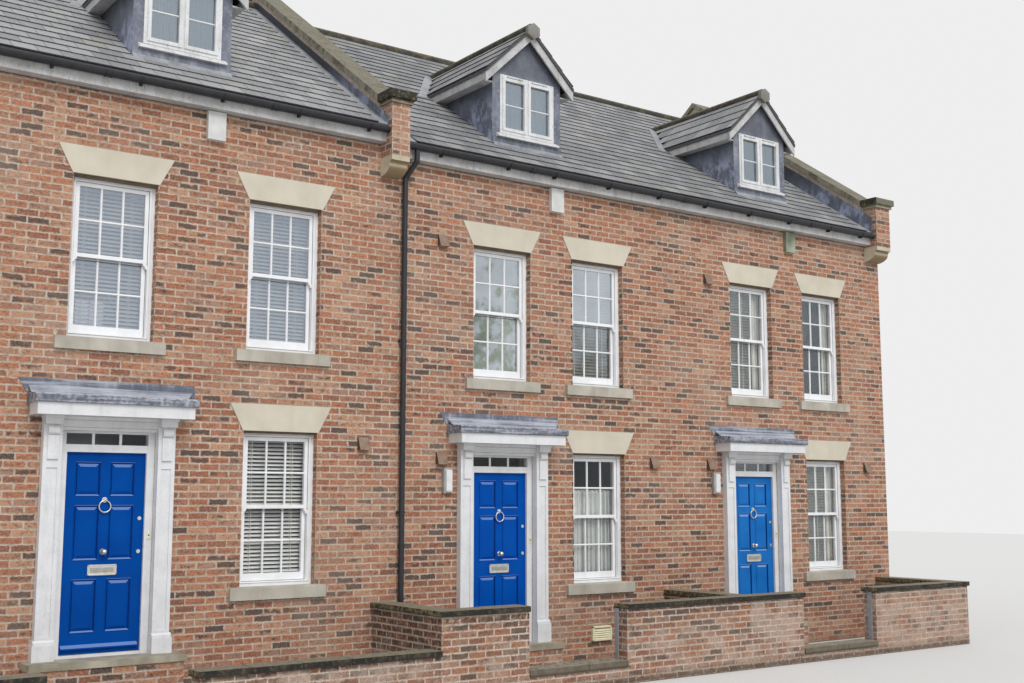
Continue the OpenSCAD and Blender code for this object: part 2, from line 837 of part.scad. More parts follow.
module window_sashes() {
    color(paint_white)
    front_and_rear()
    for (h = houses)
        for (w = all_windows(h))
            translate([w[0], 0, w[1]]) {
                ring_frame(-sash_half, sash_half, sash_mid - meeting_h / 2, sash_top, sash_w, sash_w,
                    meeting_h, sash_front, sash_front + sash_t);
                ring_frame(-sash_half, sash_half, sash_low, sash_mid + meeting_h / 2, sash_w, meeting_h,
                    bottom_rail_h, sash_front + sash_t, sash_front + 2 * sash_t);
            }
}

module window_glass() {
    pane_half = sash_half - sash_w;
    pane_y = sash_front + (sash_t - glass_t) / 2;
    dormer_rim = dormer_frame_w + casement_w;
    glass_y = 20;
    color([0.62, 0.68, 0.72, 0.5]) {
        front_and_rear()
        for (h = houses)
            for (w = all_windows(h))
                translate([w[0], 0, w[1]]) {
                    block([-pane_half, pane_y, sash_mid + meeting_h / 2],
                        [pane_half, pane_y + glass_t, sash_top - sash_w]);
                    block([-pane_half, pane_y + sash_t, sash_low + bottom_rail_h],
                        [pane_half, pane_y + sash_t + glass_t, sash_mid - meeting_h / 2]);
                }
        for (h = houses)
            for (light = dormer_lights)
                translate([house_mid(h), dormer_y + glass_y, dormer_window_z + rise(h)])
                    block([light[0] + casement_w, 0, dormer_rim],
                        [light[1] - casement_w, glass_t, dormer_window_h - dormer_rim]);
        for (h = houses)
            translate([door_x(h), door_reveal + 2 * glass_y, head(h) - transom_drop - transom_h])
                block([post_w - door_hole_w / 2, 0, 0], [door_hole_w / 2 - post_w, glass_t, transom_h]);
    }
}

// Eaves board and soffit board of one length of eaves
module eaves_board(x0, x1, lift) {
    along_x(x0, x1)
        polygon([[0, fascia_z + lift], [-fascia_out, fascia_z + lift],
            [-fascia_out, roof_under(-fascia_out) + lift],
            [fascia_t - fascia_out, roof_under(fascia_t - fascia_out) + lift],
            [fascia_t - fascia_out, fascia_z + lift + 15], [0, fascia_z + lift + 15]]);
}

module fascia_boards() {
    color([0.74, 0.74, 0.75])
    front_and_rear() {
        for (f = roof_fields)
            eaves_board(f[0], f[1], f[2]);
    }
}

module gutters() {
    rim_z = roof_under(-fascia_out) - 5;
    color([0.16, 0.17, 0.18])
    front_and_rear()
    for (f = roof_fields)
        translate([0, -fascia_out - gutter_r - 0.3, rim_z + f[2]])
        difference() {
            translate([f[0], 0, 0]) rotate([0, 90, 0]) cylinder(f[1] - f[0], r = gutter_r, $fn = 48);
            translate([f[0] + gutter_t, 0, 0]) rotate([0, 90, 0])
                cylinder(f[1] - f[0] - 2 * gutter_t, r = gutter_r - gutter_t, $fn = 48);
            block([f[0] - cut, -gutter_r - cut, 0], [f[1] + cut, gutter_r + cut, gutter_r + cut]);
        }
}

// A round rod with a ball at its lower end, from one point to another
module rod(low, high, radius) {
    run = high - low;
    translate(low) {
        sphere(radius, $fn = 32);
        rotate([0, acos(run[2] / norm(run)), atan2(run[1], run[0])])
            cylinder(norm(run), r = radius, $fn = 32);
    }
}

module downpipe() {
    foot_z = 300;
    clip_h = 30;
    clip_over = 15;
    gutter_y = -fascia_out - gutter_r - 0.3;
    gutter_bottom = roof_under(-fascia_out) - 5 - gutter_r;
    pipe_y = -pipe_r - 25;
    outlet_z = fascia_z - 43;
    elbow_z = outlet_z - 197;
    color([0.16, 0.17, 0.18]) {
        rod([outlet_off, gutter_y, outlet_z], [outlet_off, gutter_y, gutter_bottom - 0.3], pipe_r);
        rod([pipe_off, pipe_y, elbow_z], [outlet_off, gutter_y, outlet_z], pipe_r);
        translate([pipe_off, pipe_y, foot_z]) cylinder(elbow_z - foot_z, r = pipe_r, $fn = 32);
        for (z = [head_z - 780, head_z + 1280])
            block([pipe_off - pipe_r - clip_over, pipe_y, z], [pipe_off + pipe_r + clip_over, 0, z + clip_h]);
    }
}

module door_frames() {
    half = door_hole_w / 2;
    stop = 12;
    color(paint_white)
    for (h = houses) {
        z = leaf_bottom(h);
        translate([door_x(h), 0, 0]) {
            difference() {
                block([-half, door_reveal, step_top(h)], [half, door_reveal + door_frame_d, head(h)]);
                block([post_w - half, -cut, z - leaf_gap - 1],
                    [half - post_w, wall_t, z + leaf_h + leaf_gap]);
                block([post_w - half, -cut, head(h) - transom_drop - transom_h],
                    [half - post_w, wall_t, head(h) - transom_drop]);
            }
            difference() {
                block([post_w - half, door_reveal, z - leaf_gap - 1],
                    [half - post_w, leaf_front - 6, z + leaf_h + leaf_gap]);
                block([post_w - half + stop, 0, z - 2 * leaf_gap],
                    [half - post_w - stop, wall_t, z + leaf_h + leaf_gap - stop]);
            }
            for (step = hinge_zs)
                translate([hinge_x, hinge_y, z + step - 45]) {
                    cylinder(45, r = knuckle_r, $fn = 32);
                    cylinder(80, r = knuckle_r - 3, $fn = 32);
                    translate([-35, -knuckle_r - 1, 0]) cube([35, 3, 45]);
                }
        }
    }
}

// Rows of panels as [height of the underside above the leaf's underside, height]
panel_rows = [[207, 530], [930, 556], [1580, 348]];

// Raised and bevelled field of a panel, the same on both faces of the leaf
module raised_field(field_w, field_h) {
    bevel = 30;
    deep = panel_d;
    face = 2;
    intersection() {
        linear_extrude(field_h)
            polygon([[0, deep], [bevel, face], [field_w - bevel, face], [field_w, deep],
                [field_w, leaf_t - deep], [field_w - bevel, leaf_t - face], [bevel, leaf_t - face],
                [0, leaf_t - deep]]);
        along_x(0, field_w)
            polygon([[deep, 0], [face, bevel], [face, field_h - bevel], [deep, field_h],
                [leaf_t - deep, field_h], [leaf_t - face, field_h - bevel], [leaf_t - face, bevel],
                [leaf_t - deep, 0]]);
    }
}

module door_leaf(h) {
    margin = 18;
    translate([door_x(h) + leaf_left, leaf_front, leaf_bottom(h)]) {
        difference() {
            cube([leaf_w, leaf_t, leaf_h]);
            for (side = [-1, 1])
                for (row = panel_rows)
                    translate([leaf_w / 2 + side * panel_x - panel_w / 2, 0, row[0]]) {
                        translate([0, -cut, 0]) cube([panel_w, panel_d + cut, row[1]]);
                        translate([0, leaf_t - panel_d, 0]) cube([panel_w, panel_d + cut, row[1]]);
                    }
        }
        for (side = [-1, 1])
            for (row = panel_rows)
                translate([leaf_w / 2 + side * panel_x - panel_w / 2 + margin, 0, row[0] + margin])
                    raised_field(panel_w - 2 * margin, row[1] - 2 * margin);
    }
}

// Weather bar near the foot of the left house's leaf
module weather_bar(h) {
    end = 30;
    out = 35;
    translate([door_x(h) + leaf_left, leaf_front, leaf_bottom(h) + 45])
        along_x(end, leaf_w - end) polygon([[0, 0], [-out, 0], [-out, 15], [0, 45]]);
}

module door_leaf_a() {
    color([0.04, 0.28, 0.66]) {
        door_leaf(0);
        weather_bar(0);
    }
}

module door_leaf_b() {
    color([0.04, 0.29, 0.68])
    door_leaf(1);
}

module door_leaf_c() {
    color([0.13, 0.41, 0.72])
    door_leaf(2);
}

module door_furniture(h) {
    ring_r = 60;
    ring_bar = 7;
    ring_y = -22;
    plate_w = 300;
    plate_h = 110;
    lock_in = 50;
    mid = leaf_w / 2;
    color([0.80, 0.72, 0.50])
    translate([door_x(h) + leaf_left, leaf_front, leaf_bottom(h)]) {
        translate([mid, 0, knob_z]) rotate([90, 0, 0]) {
            cylinder(8, r = 30, $fn = 32);
            cylinder(45, r = 12, $fn = 32);
            translate([0, 0, 55]) sphere(30, $fn = 32);
        }
        translate([mid, 0, knocker_z]) rotate([90, 0, 0]) {
            cylinder(6, r = 28, $fn = 32);
            translate([0, 0, 17]) sphere(16, $fn = 32);
        }
        translate([mid, ring_y, knocker_z - ring_r - 8]) rotate([90, 0, 0])
            rotate_extrude($fn = 48) translate([ring_r, 0]) circle(ring_bar, $fn = 16);
        translate([mid, 0, knocker_z - 2 * ring_r - 8]) rotate([90, 0, 0]) cylinder(18, r = 9, $fn = 32);
        difference() {
            translate([mid - plate_w / 2, -8, plate_z]) cube([plate_w, 8, plate_h]);
            translate([mid - plate_w / 2 + 30, -8 - cut, plate_z + 30])
                cube([plate_w - 60, 3 + cut, plate_h - 60]);
        }
        for (z = [knob_z - 4, knob_z + 337])
            translate([leaf_w - lock_in, 0, z]) rotate([90, 0, 0]) cylinder(10, r = 20, $fn = 32);
        for (step = hinge_zs)
            translate([-leaf_gap / 2, leaf_t + knuckle_r + 1, step + 1]) {
                difference() {
                    union() {
                        cylinder(45, r = knuckle_r, $fn = 32);
                        translate([0, -knuckle_r - 1, 0]) cube([40, 3, 45]);
                    }
                    translate([0, 0, -cut]) cylinder(47, r = knuckle_r - 2.7, $fn = 32);
                }
            }
    }
}

module door_furniture_a() {
    door_furniture(0);
}

module door_furniture_b() {
    door_furniture(1);
}

module door_furniture_c() {
    door_furniture(2);
}

// Console under the canopy, seen from its side: a rounded front above a flatter foot
module console_outline() {
    round_r = 60;
    foot_out = console_out - 30;
    translate([round_r - console_out, -round_r]) circle(round_r, $fn = 48);
    translate([round_r - console_out, -2 * round_r]) square([console_out - round_r, 2 * round_r]);
    translate([-foot_out, -console_h]) square([foot_out, console_h]);
}

// Moulding over the door, seen from its side, with its origin on the wall face at the door head
module frieze_outline() {
    polygon([[door_reveal, -60], [-50, -60], [-50, -32], [-64, -24], [-64, 38], [-78, 50], [-84, canopy_up],
        [0, canopy_up], [0, 0], [door_reveal, 0]]);
}

module pilaster(h) {
    inner = door_hole_w / 2;
    outer = surround_half;
    top = head(h) + canopy_up;
    plinth_top = leaf_bottom(h) + plinth_h;
    mould = 45;
    mould_out = 15;
    panel_side = 40;
    panel_deep = 12;
    cap_low = head(h) - 5;
    console_x = (inner + outer - console_w) / 2;
    difference() {
        block([inner, -pilaster_out, step_top(h)], [outer, 0, top]);
        block([inner + panel_side, -pilaster_out - cut, leaf_bottom(h) + 200],
            [outer - panel_side, panel_deep - pilaster_out, head(h) - 442]);
    }
    block([inner - 5, -pilaster_out - plinth_over, step_top(h)], [outer + plinth_over, 0, plinth_top]);
    along_x(inner - 5, outer + mould_out)
        polygon([[0, plinth_top], [-pilaster_out - mould_out, plinth_top],
            [-pilaster_out - mould_out, plinth_top + mould / 2], [-pilaster_out, plinth_top + mould],
            [0, plinth_top + mould]]);
    translate([0, 0, cap_low]) along_x(console_x, console_x + console_w) console_outline();
    block([inner + 8, -console_out - 10, cap_low], [outer, 0, head(h) + 55]);
    block([inner, -console_out - 25, head(h) + 55], [outer + 10, 0, top]);
}

module door_surrounds() {
    color(paint_white)
    for (h = houses)
        translate([door_x(h), 0, 0]) {
            for (side = [0, 1])
                mirror([side, 0, 0]) pilaster(h);
            translate([0, 0, head(h)]) along_x(-door_hole_w / 2, door_hole_w / 2) frieze_outline();
        }
}

module door_canopies() {
    color(paint_white)
    for (h = houses) {
        z = head(h) + canopy_up;
        half = canopy_w / 2;
        block([door_x(h) - half, -canopy_out, z], [door_x(h) + half, 0, z + canopy_h]);
    }
}

// Lead roll over a canopy and the lead on the wall above it
module canopy_lead() {
    drip = 30;
    half = canopy_w / 2;
    rise_t = 111;
    left_in = 30;
    left_out = 130;
    right_out = 100;
    lap_h = canopy_lead_h * 0.56;
    along_x(-half - drip, half + drip)
        polygon([[0, 0], [-canopy_out, 0], [-canopy_out - drip, 8], [-canopy_out - drip, 76],
            [-canopy_out - drip / 2, 90], [0, rise_t]]);
    along_y(-lead_t, 0)
        polygon([[-half - left_in, rise_t - lead_t], [half + right_out, rise_t - lead_t],
            [half + right_out, rise_t + canopy_lead_h], [-half - left_out, rise_t + canopy_lead_h]]);
    along_y(-2 * lead_t, 0)
        polygon([[-half - left_in, rise_t - lead_t], [half + right_out, rise_t - lead_t],
            [half + right_out, rise_t + lap_h],
            [-half - left_in - (left_out - left_in) * lap_h / canopy_lead_h, rise_t + lap_h]]);
}

// Lead apron under a dormer window, down over the slates
module dormer_apron() {
    foot = dormer_y - 90;
    top = dormer_window_z - 62;
    along_x(-dormer_w / 2, dormer_w / 2)
        polygon([[foot, slate_at(foot) + seat], [dormer_y, slate_at(dormer_y) + seat], [dormer_y, top],
            [dormer_y - 15, top], [dormer_y - 20, slate_at(dormer_y) + 30], [foot, slate_at(foot) + 12]]);
}

// Lead beside a parapet: a band up its face and a strip over the slates, on the front slope
module parapet_lead(x, side, lift) {
    start = -eaves_out;
    stop = ridge_y - ridge_r - 10;
    up = parapet_z - flashing_drop - slate_z - lift;
    face = side > 0 ? x : x - lead_t;
    strip = side > 0 ? x : x - flashing_w;
    translate([0, 0, lift + seat]) {
        along_x(face, face + lead_t)
            polygon([[start, slate_at(start)], [stop, slate_at(stop)], [stop, slate_at(stop) + up],
                [start, slate_at(start) + up]]);
        along_x(strip, strip + flashing_w)
            polygon([[start, slate_at(start)], [stop, slate_at(stop)], [stop, slate_at(stop) + lead_t],
                [start, slate_at(start) + lead_t]]);
    }
}

module leadwork() {
    color(lead_grey) {
        for (h = houses) {
            translate([door_x(h), 0, head(h) + canopy_up + canopy_h]) canopy_lead();
            translate([house_mid(h), 0, rise(h)]) dormer_apron();
        }
        front_and_rear() {
            parapet_lead(inner_right(0), -1, rise_a);
            parapet_lead(inner_left(1), 1, 0);
            parapet_lead(right_x - gable_t, -1, 0);
        }
    }
}

function step_half(h) = (h == 0 ? step_w_a : step_w) / 2;

module door_steps() {
    color([0.70, 0.68, 0.62])
    for (h = houses)
        block([door_x(h) - step_half(h), -step_d, step_top(h) - step_t],
            [door_x(h) + step_half(h), 0, step_top(h)]);
}

// Gateway edges of each house
function gate_left(h) = door_x(h) - [gate_off_a, gate_off_b, gate_off_c][h];
function gate_right(h) = gate_left(h) + [gate_w_a, gate_w_b, gate_w_c][h];

// Left edges of the walls that run back to the houses
return_ab = -garden_t - 5;
return_bc = house_w - garden_t;
return_right = right_x - 120 - garden_t;

// Walls along the street: [left, right, coping top, left overhang, right overhang]
low_walls = [[row_left, gate_left(0), low_left_z, 0, 1], [gate_right(0), return_ab, low_z, 1, 0]];
tall_walls = [[return_ab, gate_left(1), garden_z + garden_step, 1, 0.3],
    [gate_right(1), gate_left(2), garden_z, 0, 1], [gate_right(2), return_right + garden_t, garden_z, 1, 1]];

// Walls back to the houses: [left, coping top]
return_walls = [[return_ab, garden_z + garden_step], [return_bc, garden_z], [return_right, garden_z]];

module street_wall(w) {
    block([w[0], -garden_d, 0], [w[1], garden_t - garden_d, w[2] - garden_coping_t]);
}

module garden_walls() {
    under_step = 20;
    color(brick_red) {
        for (w = tall_walls)
            street_wall(w);
        for (w = return_walls)
            block([w[0], garden_t - garden_d, 0], [w[0] + garden_t, 0, w[1] - garden_coping_t]);
        for (h = houses)
            block([door_x(h) - step_half(h) + under_step, under_step - step_d, 0],
                [door_x(h) + step_half(h) - under_step, 0, step_top(h) - step_t]);
    }
}

module low_garden_walls() {
    color(brick_red)
    for (w = low_walls)
        street_wall(w);
}

module garden_copings() {
    color([0.36, 0.34, 0.28]) {
        for (w = concat(low_walls, tall_walls))
            block([w[0] - w[3] * garden_over, front_y, w[2] - garden_coping_t],
                [w[1] + w[4] * garden_over, garden_t - garden_d + garden_over, w[2]]);
        for (w = return_walls)
            block([w[0] - garden_over, garden_t - garden_d, w[1] - garden_coping_t],
                [w[0] + garden_t + garden_over, 0, w[1]]);
    }
}

module entrance_slabs() {
    tops = [slab_z_a, slab_z_b, slab_z_c];
    color([0.55, 0.52, 0.46])
    for (h = houses)
        block([gate_left(h), -garden_d, 0], [gate_right(h), slab_d - garden_d, tops[h]]);
}

// A sloping cowl over a vent, centred at x with its underside at z
module cowl(x, z) {
    lip = 20;
    translate([0, 0, z]) along_x(x - cowl_w / 2, x + cowl_w / 2)
        polygon([[0, 0], [-cowl_out, 0], [-lip, cowl_h], [0, cowl_h]]);
}

module wall_vents() {
    color([0.45, 0.36, 0.30]) {
        cowl(lines[0] + cowl_far_off_a, head(0) - cowl_drop);
        for (h = [1, 2]) {
            cowl(lines[h] + cowl_off, head(h) - cowl_drop);
            cowl(lines[h] + cowl_far_off, head(h) - cowl_drop);
            cowl(lines[h] + cowl_off + 7, head(h) + storey_h - cowl_up_drop);
        }
    }
    color([0.85, 0.82, 0.60])
    translate([window_off - air_vent_w / 2, -air_vent_out, air_vent_z])
        cube([air_vent_w, air_vent_out, air_vent_h]);
}

module alarm_boxes() {
    color([0.88, 0.88, 0.86])
    for (h = houses) {
        x = lines[h] + (h == 0 ? alarm_off_a : alarm_off);
        z = head(h) + alarm_up;
        block([x - alarm_w / 2, -alarm_out, z], [x + alarm_w / 2, 0, z + alarm_h]);
    }
}

module wall_lights() {
    color([0.75, 0.75, 0.74])
    for (h = [1, 2])
        translate([door_x(h) - light_off - light_w, -light_out, head(h) - light_drop - light_h])
            cube([light_w, light_out, light_h]);
}

module rear_doors() {
    color([0.86, 0.86, 0.85])
    for (h = houses)
        translate([0, house_d, 0]) mirror([0, 1, 0])
            block([door_x(h) - window_w / 2, reveal_d, step_top(h)],
                [door_x(h) + window_w / 2, reveal_d + 50, head(h)]);
}

placed() ground_floors();
placed() upper_floors();
placed() front_wall_base();
placed() front_wall_ground();
placed() front_wall_upper();
placed() rear_wall();
placed() party_walls();
placed() gable_wall();
placed() parapet_copings();
placed() kneelers();
placed() roof_front();
placed() roof_rear();
placed() ridge_tiles();
placed() dormer_walls();
placed() dormer_roofs();
placed() dormer_bargeboards();
placed() dormer_windows();
placed() dormer_ridge_blocks();
placed() lintels();
placed() sills();
placed() window_frames();
placed() window_sashes();
placed() window_glass();
placed() fascia_boards();
placed() gutters();
placed() downpipe();
placed() door_frames();
placed() door_leaf_a();
placed() door_leaf_b();
placed() door_leaf_c();
placed() door_furniture_a();
placed() door_furniture_b();
placed() door_furniture_c();
placed() door_surrounds();
placed() door_canopies();
placed() leadwork();
placed() door_steps();
placed() garden_walls();
placed() low_garden_walls();
placed() garden_copings();
placed() entrance_slabs();
placed() wall_vents();
placed() alarm_boxes();
placed() wall_lights();
placed() rear_doors();
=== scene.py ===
import math
import bmesh
import bpy
from mathutils import Euler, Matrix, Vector


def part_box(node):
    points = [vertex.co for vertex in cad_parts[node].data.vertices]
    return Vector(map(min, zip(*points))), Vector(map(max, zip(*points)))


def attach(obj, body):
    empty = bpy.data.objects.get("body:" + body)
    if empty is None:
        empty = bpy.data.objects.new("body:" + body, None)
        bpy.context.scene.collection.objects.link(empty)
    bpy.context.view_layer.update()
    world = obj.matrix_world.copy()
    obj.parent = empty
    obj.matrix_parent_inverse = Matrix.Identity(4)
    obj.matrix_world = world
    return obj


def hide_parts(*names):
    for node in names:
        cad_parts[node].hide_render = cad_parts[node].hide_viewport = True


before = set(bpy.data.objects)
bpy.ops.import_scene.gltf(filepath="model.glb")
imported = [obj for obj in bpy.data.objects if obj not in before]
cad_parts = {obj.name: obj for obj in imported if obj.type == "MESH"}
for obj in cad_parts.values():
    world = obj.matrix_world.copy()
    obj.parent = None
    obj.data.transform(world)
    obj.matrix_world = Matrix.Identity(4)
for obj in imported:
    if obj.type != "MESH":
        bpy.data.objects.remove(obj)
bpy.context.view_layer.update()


class Sizes(dict):   # a dictionary whose entries are read by name
    __getattr__ = dict.__getitem__


# Driving sizes of the row in metres. x is measured from the party line between the first two
# houses, y from the face of the front wall, z from the lowest ground.
row = Sizes(
    leftX=-5.315, rightX=9.397, depth=7.8, headZ=2.78, storeyH=2.625,
    windowW=0.91, windowH=1.715, reveal=0.095, sillW=1.16, sillH=0.138,
    lintelW=0.93, lintelTopW=1.243, lintelH=0.3,
    slateZ=6.67, pitch=math.radians(35), eavesOut=0.185, fasciaZ=6.34,
    pierOut=0.27, kneelerZ=6.08, kneelerH=0.225, capZ=6.96, parapetZ=7.025,
    pierLeft=-0.189, pierRight=0.061, gablePier=9.052,
    leafDrop=0.27, leafH=2.035, doorHoleW=0.9905)
houses = [
    Sizes(name="a", rise=0.15, door=-3.373, upper=-3.4, window=-1.43, mid=-2.595, step=0.59, stepHalf=0.785),
    Sizes(name="b", rise=0.0, door=1.635, upper=1.647, window=3.26, mid=2.325, step=0.37, stepHalf=0.745),
    Sizes(name="c", rise=0.0, door=6.285, upper=6.297, window=7.91, mid=6.975, step=0.37, stepHalf=0.745)]
for house in houses:
    house["head"] = row.headZ + house.rise
    house["leafZ"] = house.head - row.leafDrop - row.leafH
    upperHead = house.head + row.storeyH
    house["windows"] = [(house.upper, upperHead), (house.window, upperHead), (house.window, house.head)]
windows = [spot for house in houses for spot in house.windows]   # middle and head of each window
piers = ((row.pierLeft, row.pierRight), (row.gablePier, row.rightX))
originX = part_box("gable_wall")[1].x - row.rightX
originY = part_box("front_wall_base")[0].y
scene = bpy.context.scene
sides = (-1, 1)
unit = (1, 1, 1)   # the scale of a block with its own shape, then the turns of blocks
upright = (0, 0, 0)
level = (0, math.pi / 2, 0)
about = (0, 0, math.pi)


def at(x, y, z):
    return Vector((x + originX, y + originY, z))


def slateAt(y):
    return row.slateZ + math.tan(row.pitch) * min(y, row.depth - y)


def bothSides(y):   # a depth at the front, and the same from the rear
    return (y, row.depth - y)


def bothFronts(y0, y1):   # two depths at the front, and the same from the rear
    return ((y0, y1), (row.depth - y1, row.depth - y0))


def paint(red, green, blue):   # a colour from its 0 to 255 values on screen
    def linear(value):
        value = value / 255
        return value / 12.92 if value <= 0.04045 else ((value + 0.055) / 1.055) ** 2.4
    return (linear(red), linear(green), linear(blue), 1.0)


def sums(operation, swapped=False):
    def join(self, other=0.0):
        pair = (other, self) if swapped else (self, other)
        return self.graph.add("ShaderNodeMath", {"operation": operation}, {0: pair[0], 1: pair[1]})
    return join


class Wire:   # a node's output that takes part in sums
    __add__ = sums("ADD")
    __radd__ = sums("ADD", True)
    __sub__ = sums("SUBTRACT")
    __rsub__ = sums("SUBTRACT", True)
    __mul__ = sums("MULTIPLY")
    __rmul__ = sums("MULTIPLY", True)
    __truediv__ = sums("DIVIDE")
    __gt__ = sums("GREATER_THAN")
    __lt__ = sums("LESS_THAN")
    bare = sums("ABSOLUTE")   # the size of a value without its sign
    least = sums("MINIMUM")
    most = sums("MAXIMUM")
    fold = sums("FLOORED_MODULO")   # the remainder within one step, for what repeats

    def __init__(self, graph, socket):
        self.graph = graph
        self.socket = socket

    def clip(self):
        return self.graph.add("ShaderNodeClamp", None, {"Value": self}, "Result")

    def band(self, low, high):   # rises from 0 to 1 between low and high
        return ((self - low) / (high - low)).clip()


class Graph:   # a node tree and the one method that adds its nodes
    def __init__(self, tree):
        self.tree = tree

    def add(self, kind, settings=None, sockets=None, output=0):
        node = self.tree.nodes.new(kind)
        for key, value in (settings or {}).items():
            if key == "stops":
                ramp = node.color_ramp
                while len(ramp.elements) < len(value):
                    ramp.elements.new(0.5)
                for element, (position, colour) in zip(ramp.elements, value):
                    element.position = position
                    element.color = paint(*colour)
            else:
                setattr(node, key, value)
        for key, value in (sockets or {}).items():
            self.feed(node.inputs[key], value)
        return Wire(self, node.outputs[output])

    def feed(self, socket, value):
        if isinstance(value, Wire):
            self.tree.links.new(value.socket, socket)
        else:
            socket.default_value = value


class Skin(Graph):   # a material, whose base takes one coat of colour over another
    def __init__(self, name):
        self.material = bpy.data.materials.new(name)
        self.material.use_nodes = True
        super().__init__(self.material.node_tree)
        self.surface = self.tree.nodes["Principled BSDF"]
        self.place = self.add("ShaderNodeTexCoord", None, None, "Object")
        self.x, self.y, self.z = (self.part(self.place, name) for name in "XYZ")

    def part(self, vector, axis):
        return self.add("ShaderNodeSeparateXYZ", None, {0: vector}, axis)

    def noise(self, scale, detail=3.0, stretch=(1, 1, 1), rough=0.5):
        place = self.place
        if stretch != (1, 1, 1):
            place = self.add("ShaderNodeMapping", None, {"Vector": place, "Scale": stretch})
        return self.add("ShaderNodeTexNoise", None,
                        {"Vector": place, "Scale": scale, "Detail": detail, "Roughness": rough})

    def facing(self, axis):   # how far a face looks along an axis
        return self.part(self.add("ShaderNodeNewGeometry", None, None, "Normal"), axis)

    def tag(self, name, output="Fac"):
        return self.add("ShaderNodeAttribute", {"attribute_name": name}, None, output)

    def local(self, axis):   # where a spot lies on its own block, from -0.5 to 0.5
        return self.part(self.tag("local", "Vector"), axis)

    def ramp(self, factor, *stops):
        return self.add("ShaderNodeValToRGB", {"stops": stops}, {0: factor}, "Color")

    def pair(self, factor, low, high):
        return self.ramp(factor, (0.3, low), (0.7, high))

    def mix(self, factor, first, second, how="MIX"):
        first, second = (hue if isinstance(hue, Wire) else paint(*hue) for hue in (first, second))
        return self.add("ShaderNodeMix", {"data_type": "RGBA", "blend_type": how},
                        {0: factor, 6: first, 7: second}, 2)

    def coat(self, factor, colour, how="MIX"):
        self.base = self.mix(factor, self.base, colour, how)

    def bump(self, height, strength, depth):
        return self.add("ShaderNodeBump", None, {"Height": height, "Strength": strength, "Distance": depth})

    def dress(self, rough, normal=None, **fixed):
        sockets = {"Base Color": self.base, "Roughness": rough, "Normal": normal, **fixed}
        for key, value in sockets.items():
            if value is not None:
                self.feed(self.surface.inputs[key.replace("_", " ")], value)
        return self.material


brickLook = Sizes(blotch=15.0, grain=190.0, bump=0.5, chip=0.045, burnt=0.34, gardenBurnt=0.55,
                  wash=0.62, dim=0.3, paleX=4.5, lowX=-0.22,
                  tones=((0.0, (126, 86, 70)), (0.2, (158, 103, 78)), (0.4, (176, 120, 90)),
                         (0.6, (150, 108, 88)), (0.8, (186, 146, 118)), (1.0, (144, 115, 101))))


def brickSkin(name, bloom, burnt, garden=False):   # garden bricks are dimmer, with a white bloom
    skin = Skin(name)
    tone = skin.tag("tone")
    burn = skin.tag("burn")
    size = skin.tag("size", "Vector")
    ends = (0.5 - skin.local("X").bare()) * skin.part(size, "X")
    beds = (0.5 - skin.local("Z").bare()) * skin.part(size, "Z")
    edge = ends.least(beds)   # how far a spot lies from the edge of its brick
    core = edge.band(0.003, 0.018)
    skin.base = skin.ramp(tone, *brickLook.tones)
    patch = skin.noise(brickLook.blotch, 4.0, (1, 1, 1.6))
    fine = skin.noise(46.0, 3.0, (1, 1, 1.6))
    grain = skin.noise(brickLook.grain, 2.0)
    cloud = skin.noise(1.1, 4.0)
    smoke = skin.noise(24.0, 3.0, (1, 1, 1.4))
    skin.coat(fine.band(0.5, 0.66) * 0.6, (204, 142, 106))
    skin.coat(fine.band(0.48, 0.34) * 0.5, (112, 82, 68))
    skin.coat(smoke.band(0.5, 0.62) * (core * 0.6), (94, 78, 68))
    if garden:
        pale = skin.x.band(brickLook.paleX + originX, brickLook.paleX + originX + 0.02)
        cluster = skin.noise(1.3, 2.0).band(0.44, 0.54) * skin.z.band(0.4, 0.55)
        burn = burn - cluster * (1.0 - pale) * 0.22
    charge = (1.0 - burn / burnt).clip()
    dark = (patch + core * 0.16 - (0.86 - charge * 0.52)).band(0.0, 0.12)
    skin.coat(dark * 0.9, skin.mix(fine.band(0.38, 0.62), (60, 55, 54), (98, 86, 78)))
    if garden:
        skin.coat(brickLook.dim, skin.mix(patch.band(0.4, 0.6), (82, 64, 54), (128, 100, 82)))
        lowPart = skin.x < (brickLook.lowX + originX)
        skin.coat(lowPart * (smoke + cloud).band(0.9, 1.1) * 0.5, (92, 80, 70))
        # painted shadow under the copings: the top courses of the garden walls are darkened
        tops = (skin.z.band(0.72, 0.86) + lowPart * skin.z.band(0.4, 0.5)).clip()
        skin.coat(tops * (smoke + patch).band(0.86, 1.08) * 0.8, (60, 52, 47))
    skin.coat(cloud.band(0.5, 0.75) * bloom, (188, 172, 156))
    if garden:
        spread = skin.noise(3.4, 4.0, (1, 1, 1.5)) * 0.85 + skin.noise(17.0, 4.0) * 0.3
        spread = spread + pale * 0.07 - skin.z.band(0.45, 0.75) * 0.16 * (1.0 - pale)
        spread = spread + (tone - 0.5) * 0.12
        bloomed = skin.mix(fine.band(0.4, 0.6), (164, 142, 128), (192, 176, 163))
        skin.coat(spread.band(0.5, 0.72) * brickLook.wash, bloomed)
        skin.coat((skin.z + smoke * 0.16).band(0.2, 0.12) * 0.75, (74, 64, 52))
    skin.coat(grain * 0.3, (226, 200, 180), "MULTIPLY")
    worn = (edge + (skin.noise(42.0, 4.0) - 0.5) * brickLook.chip).band(0.004, 0.0)
    skin.coat(worn * 0.8, (186, 171, 154))
    return skin.dress(0.88, skin.bump(grain * 0.5 + patch * 0.5 + fine * 0.4 - worn, brickLook.bump, 0.004))


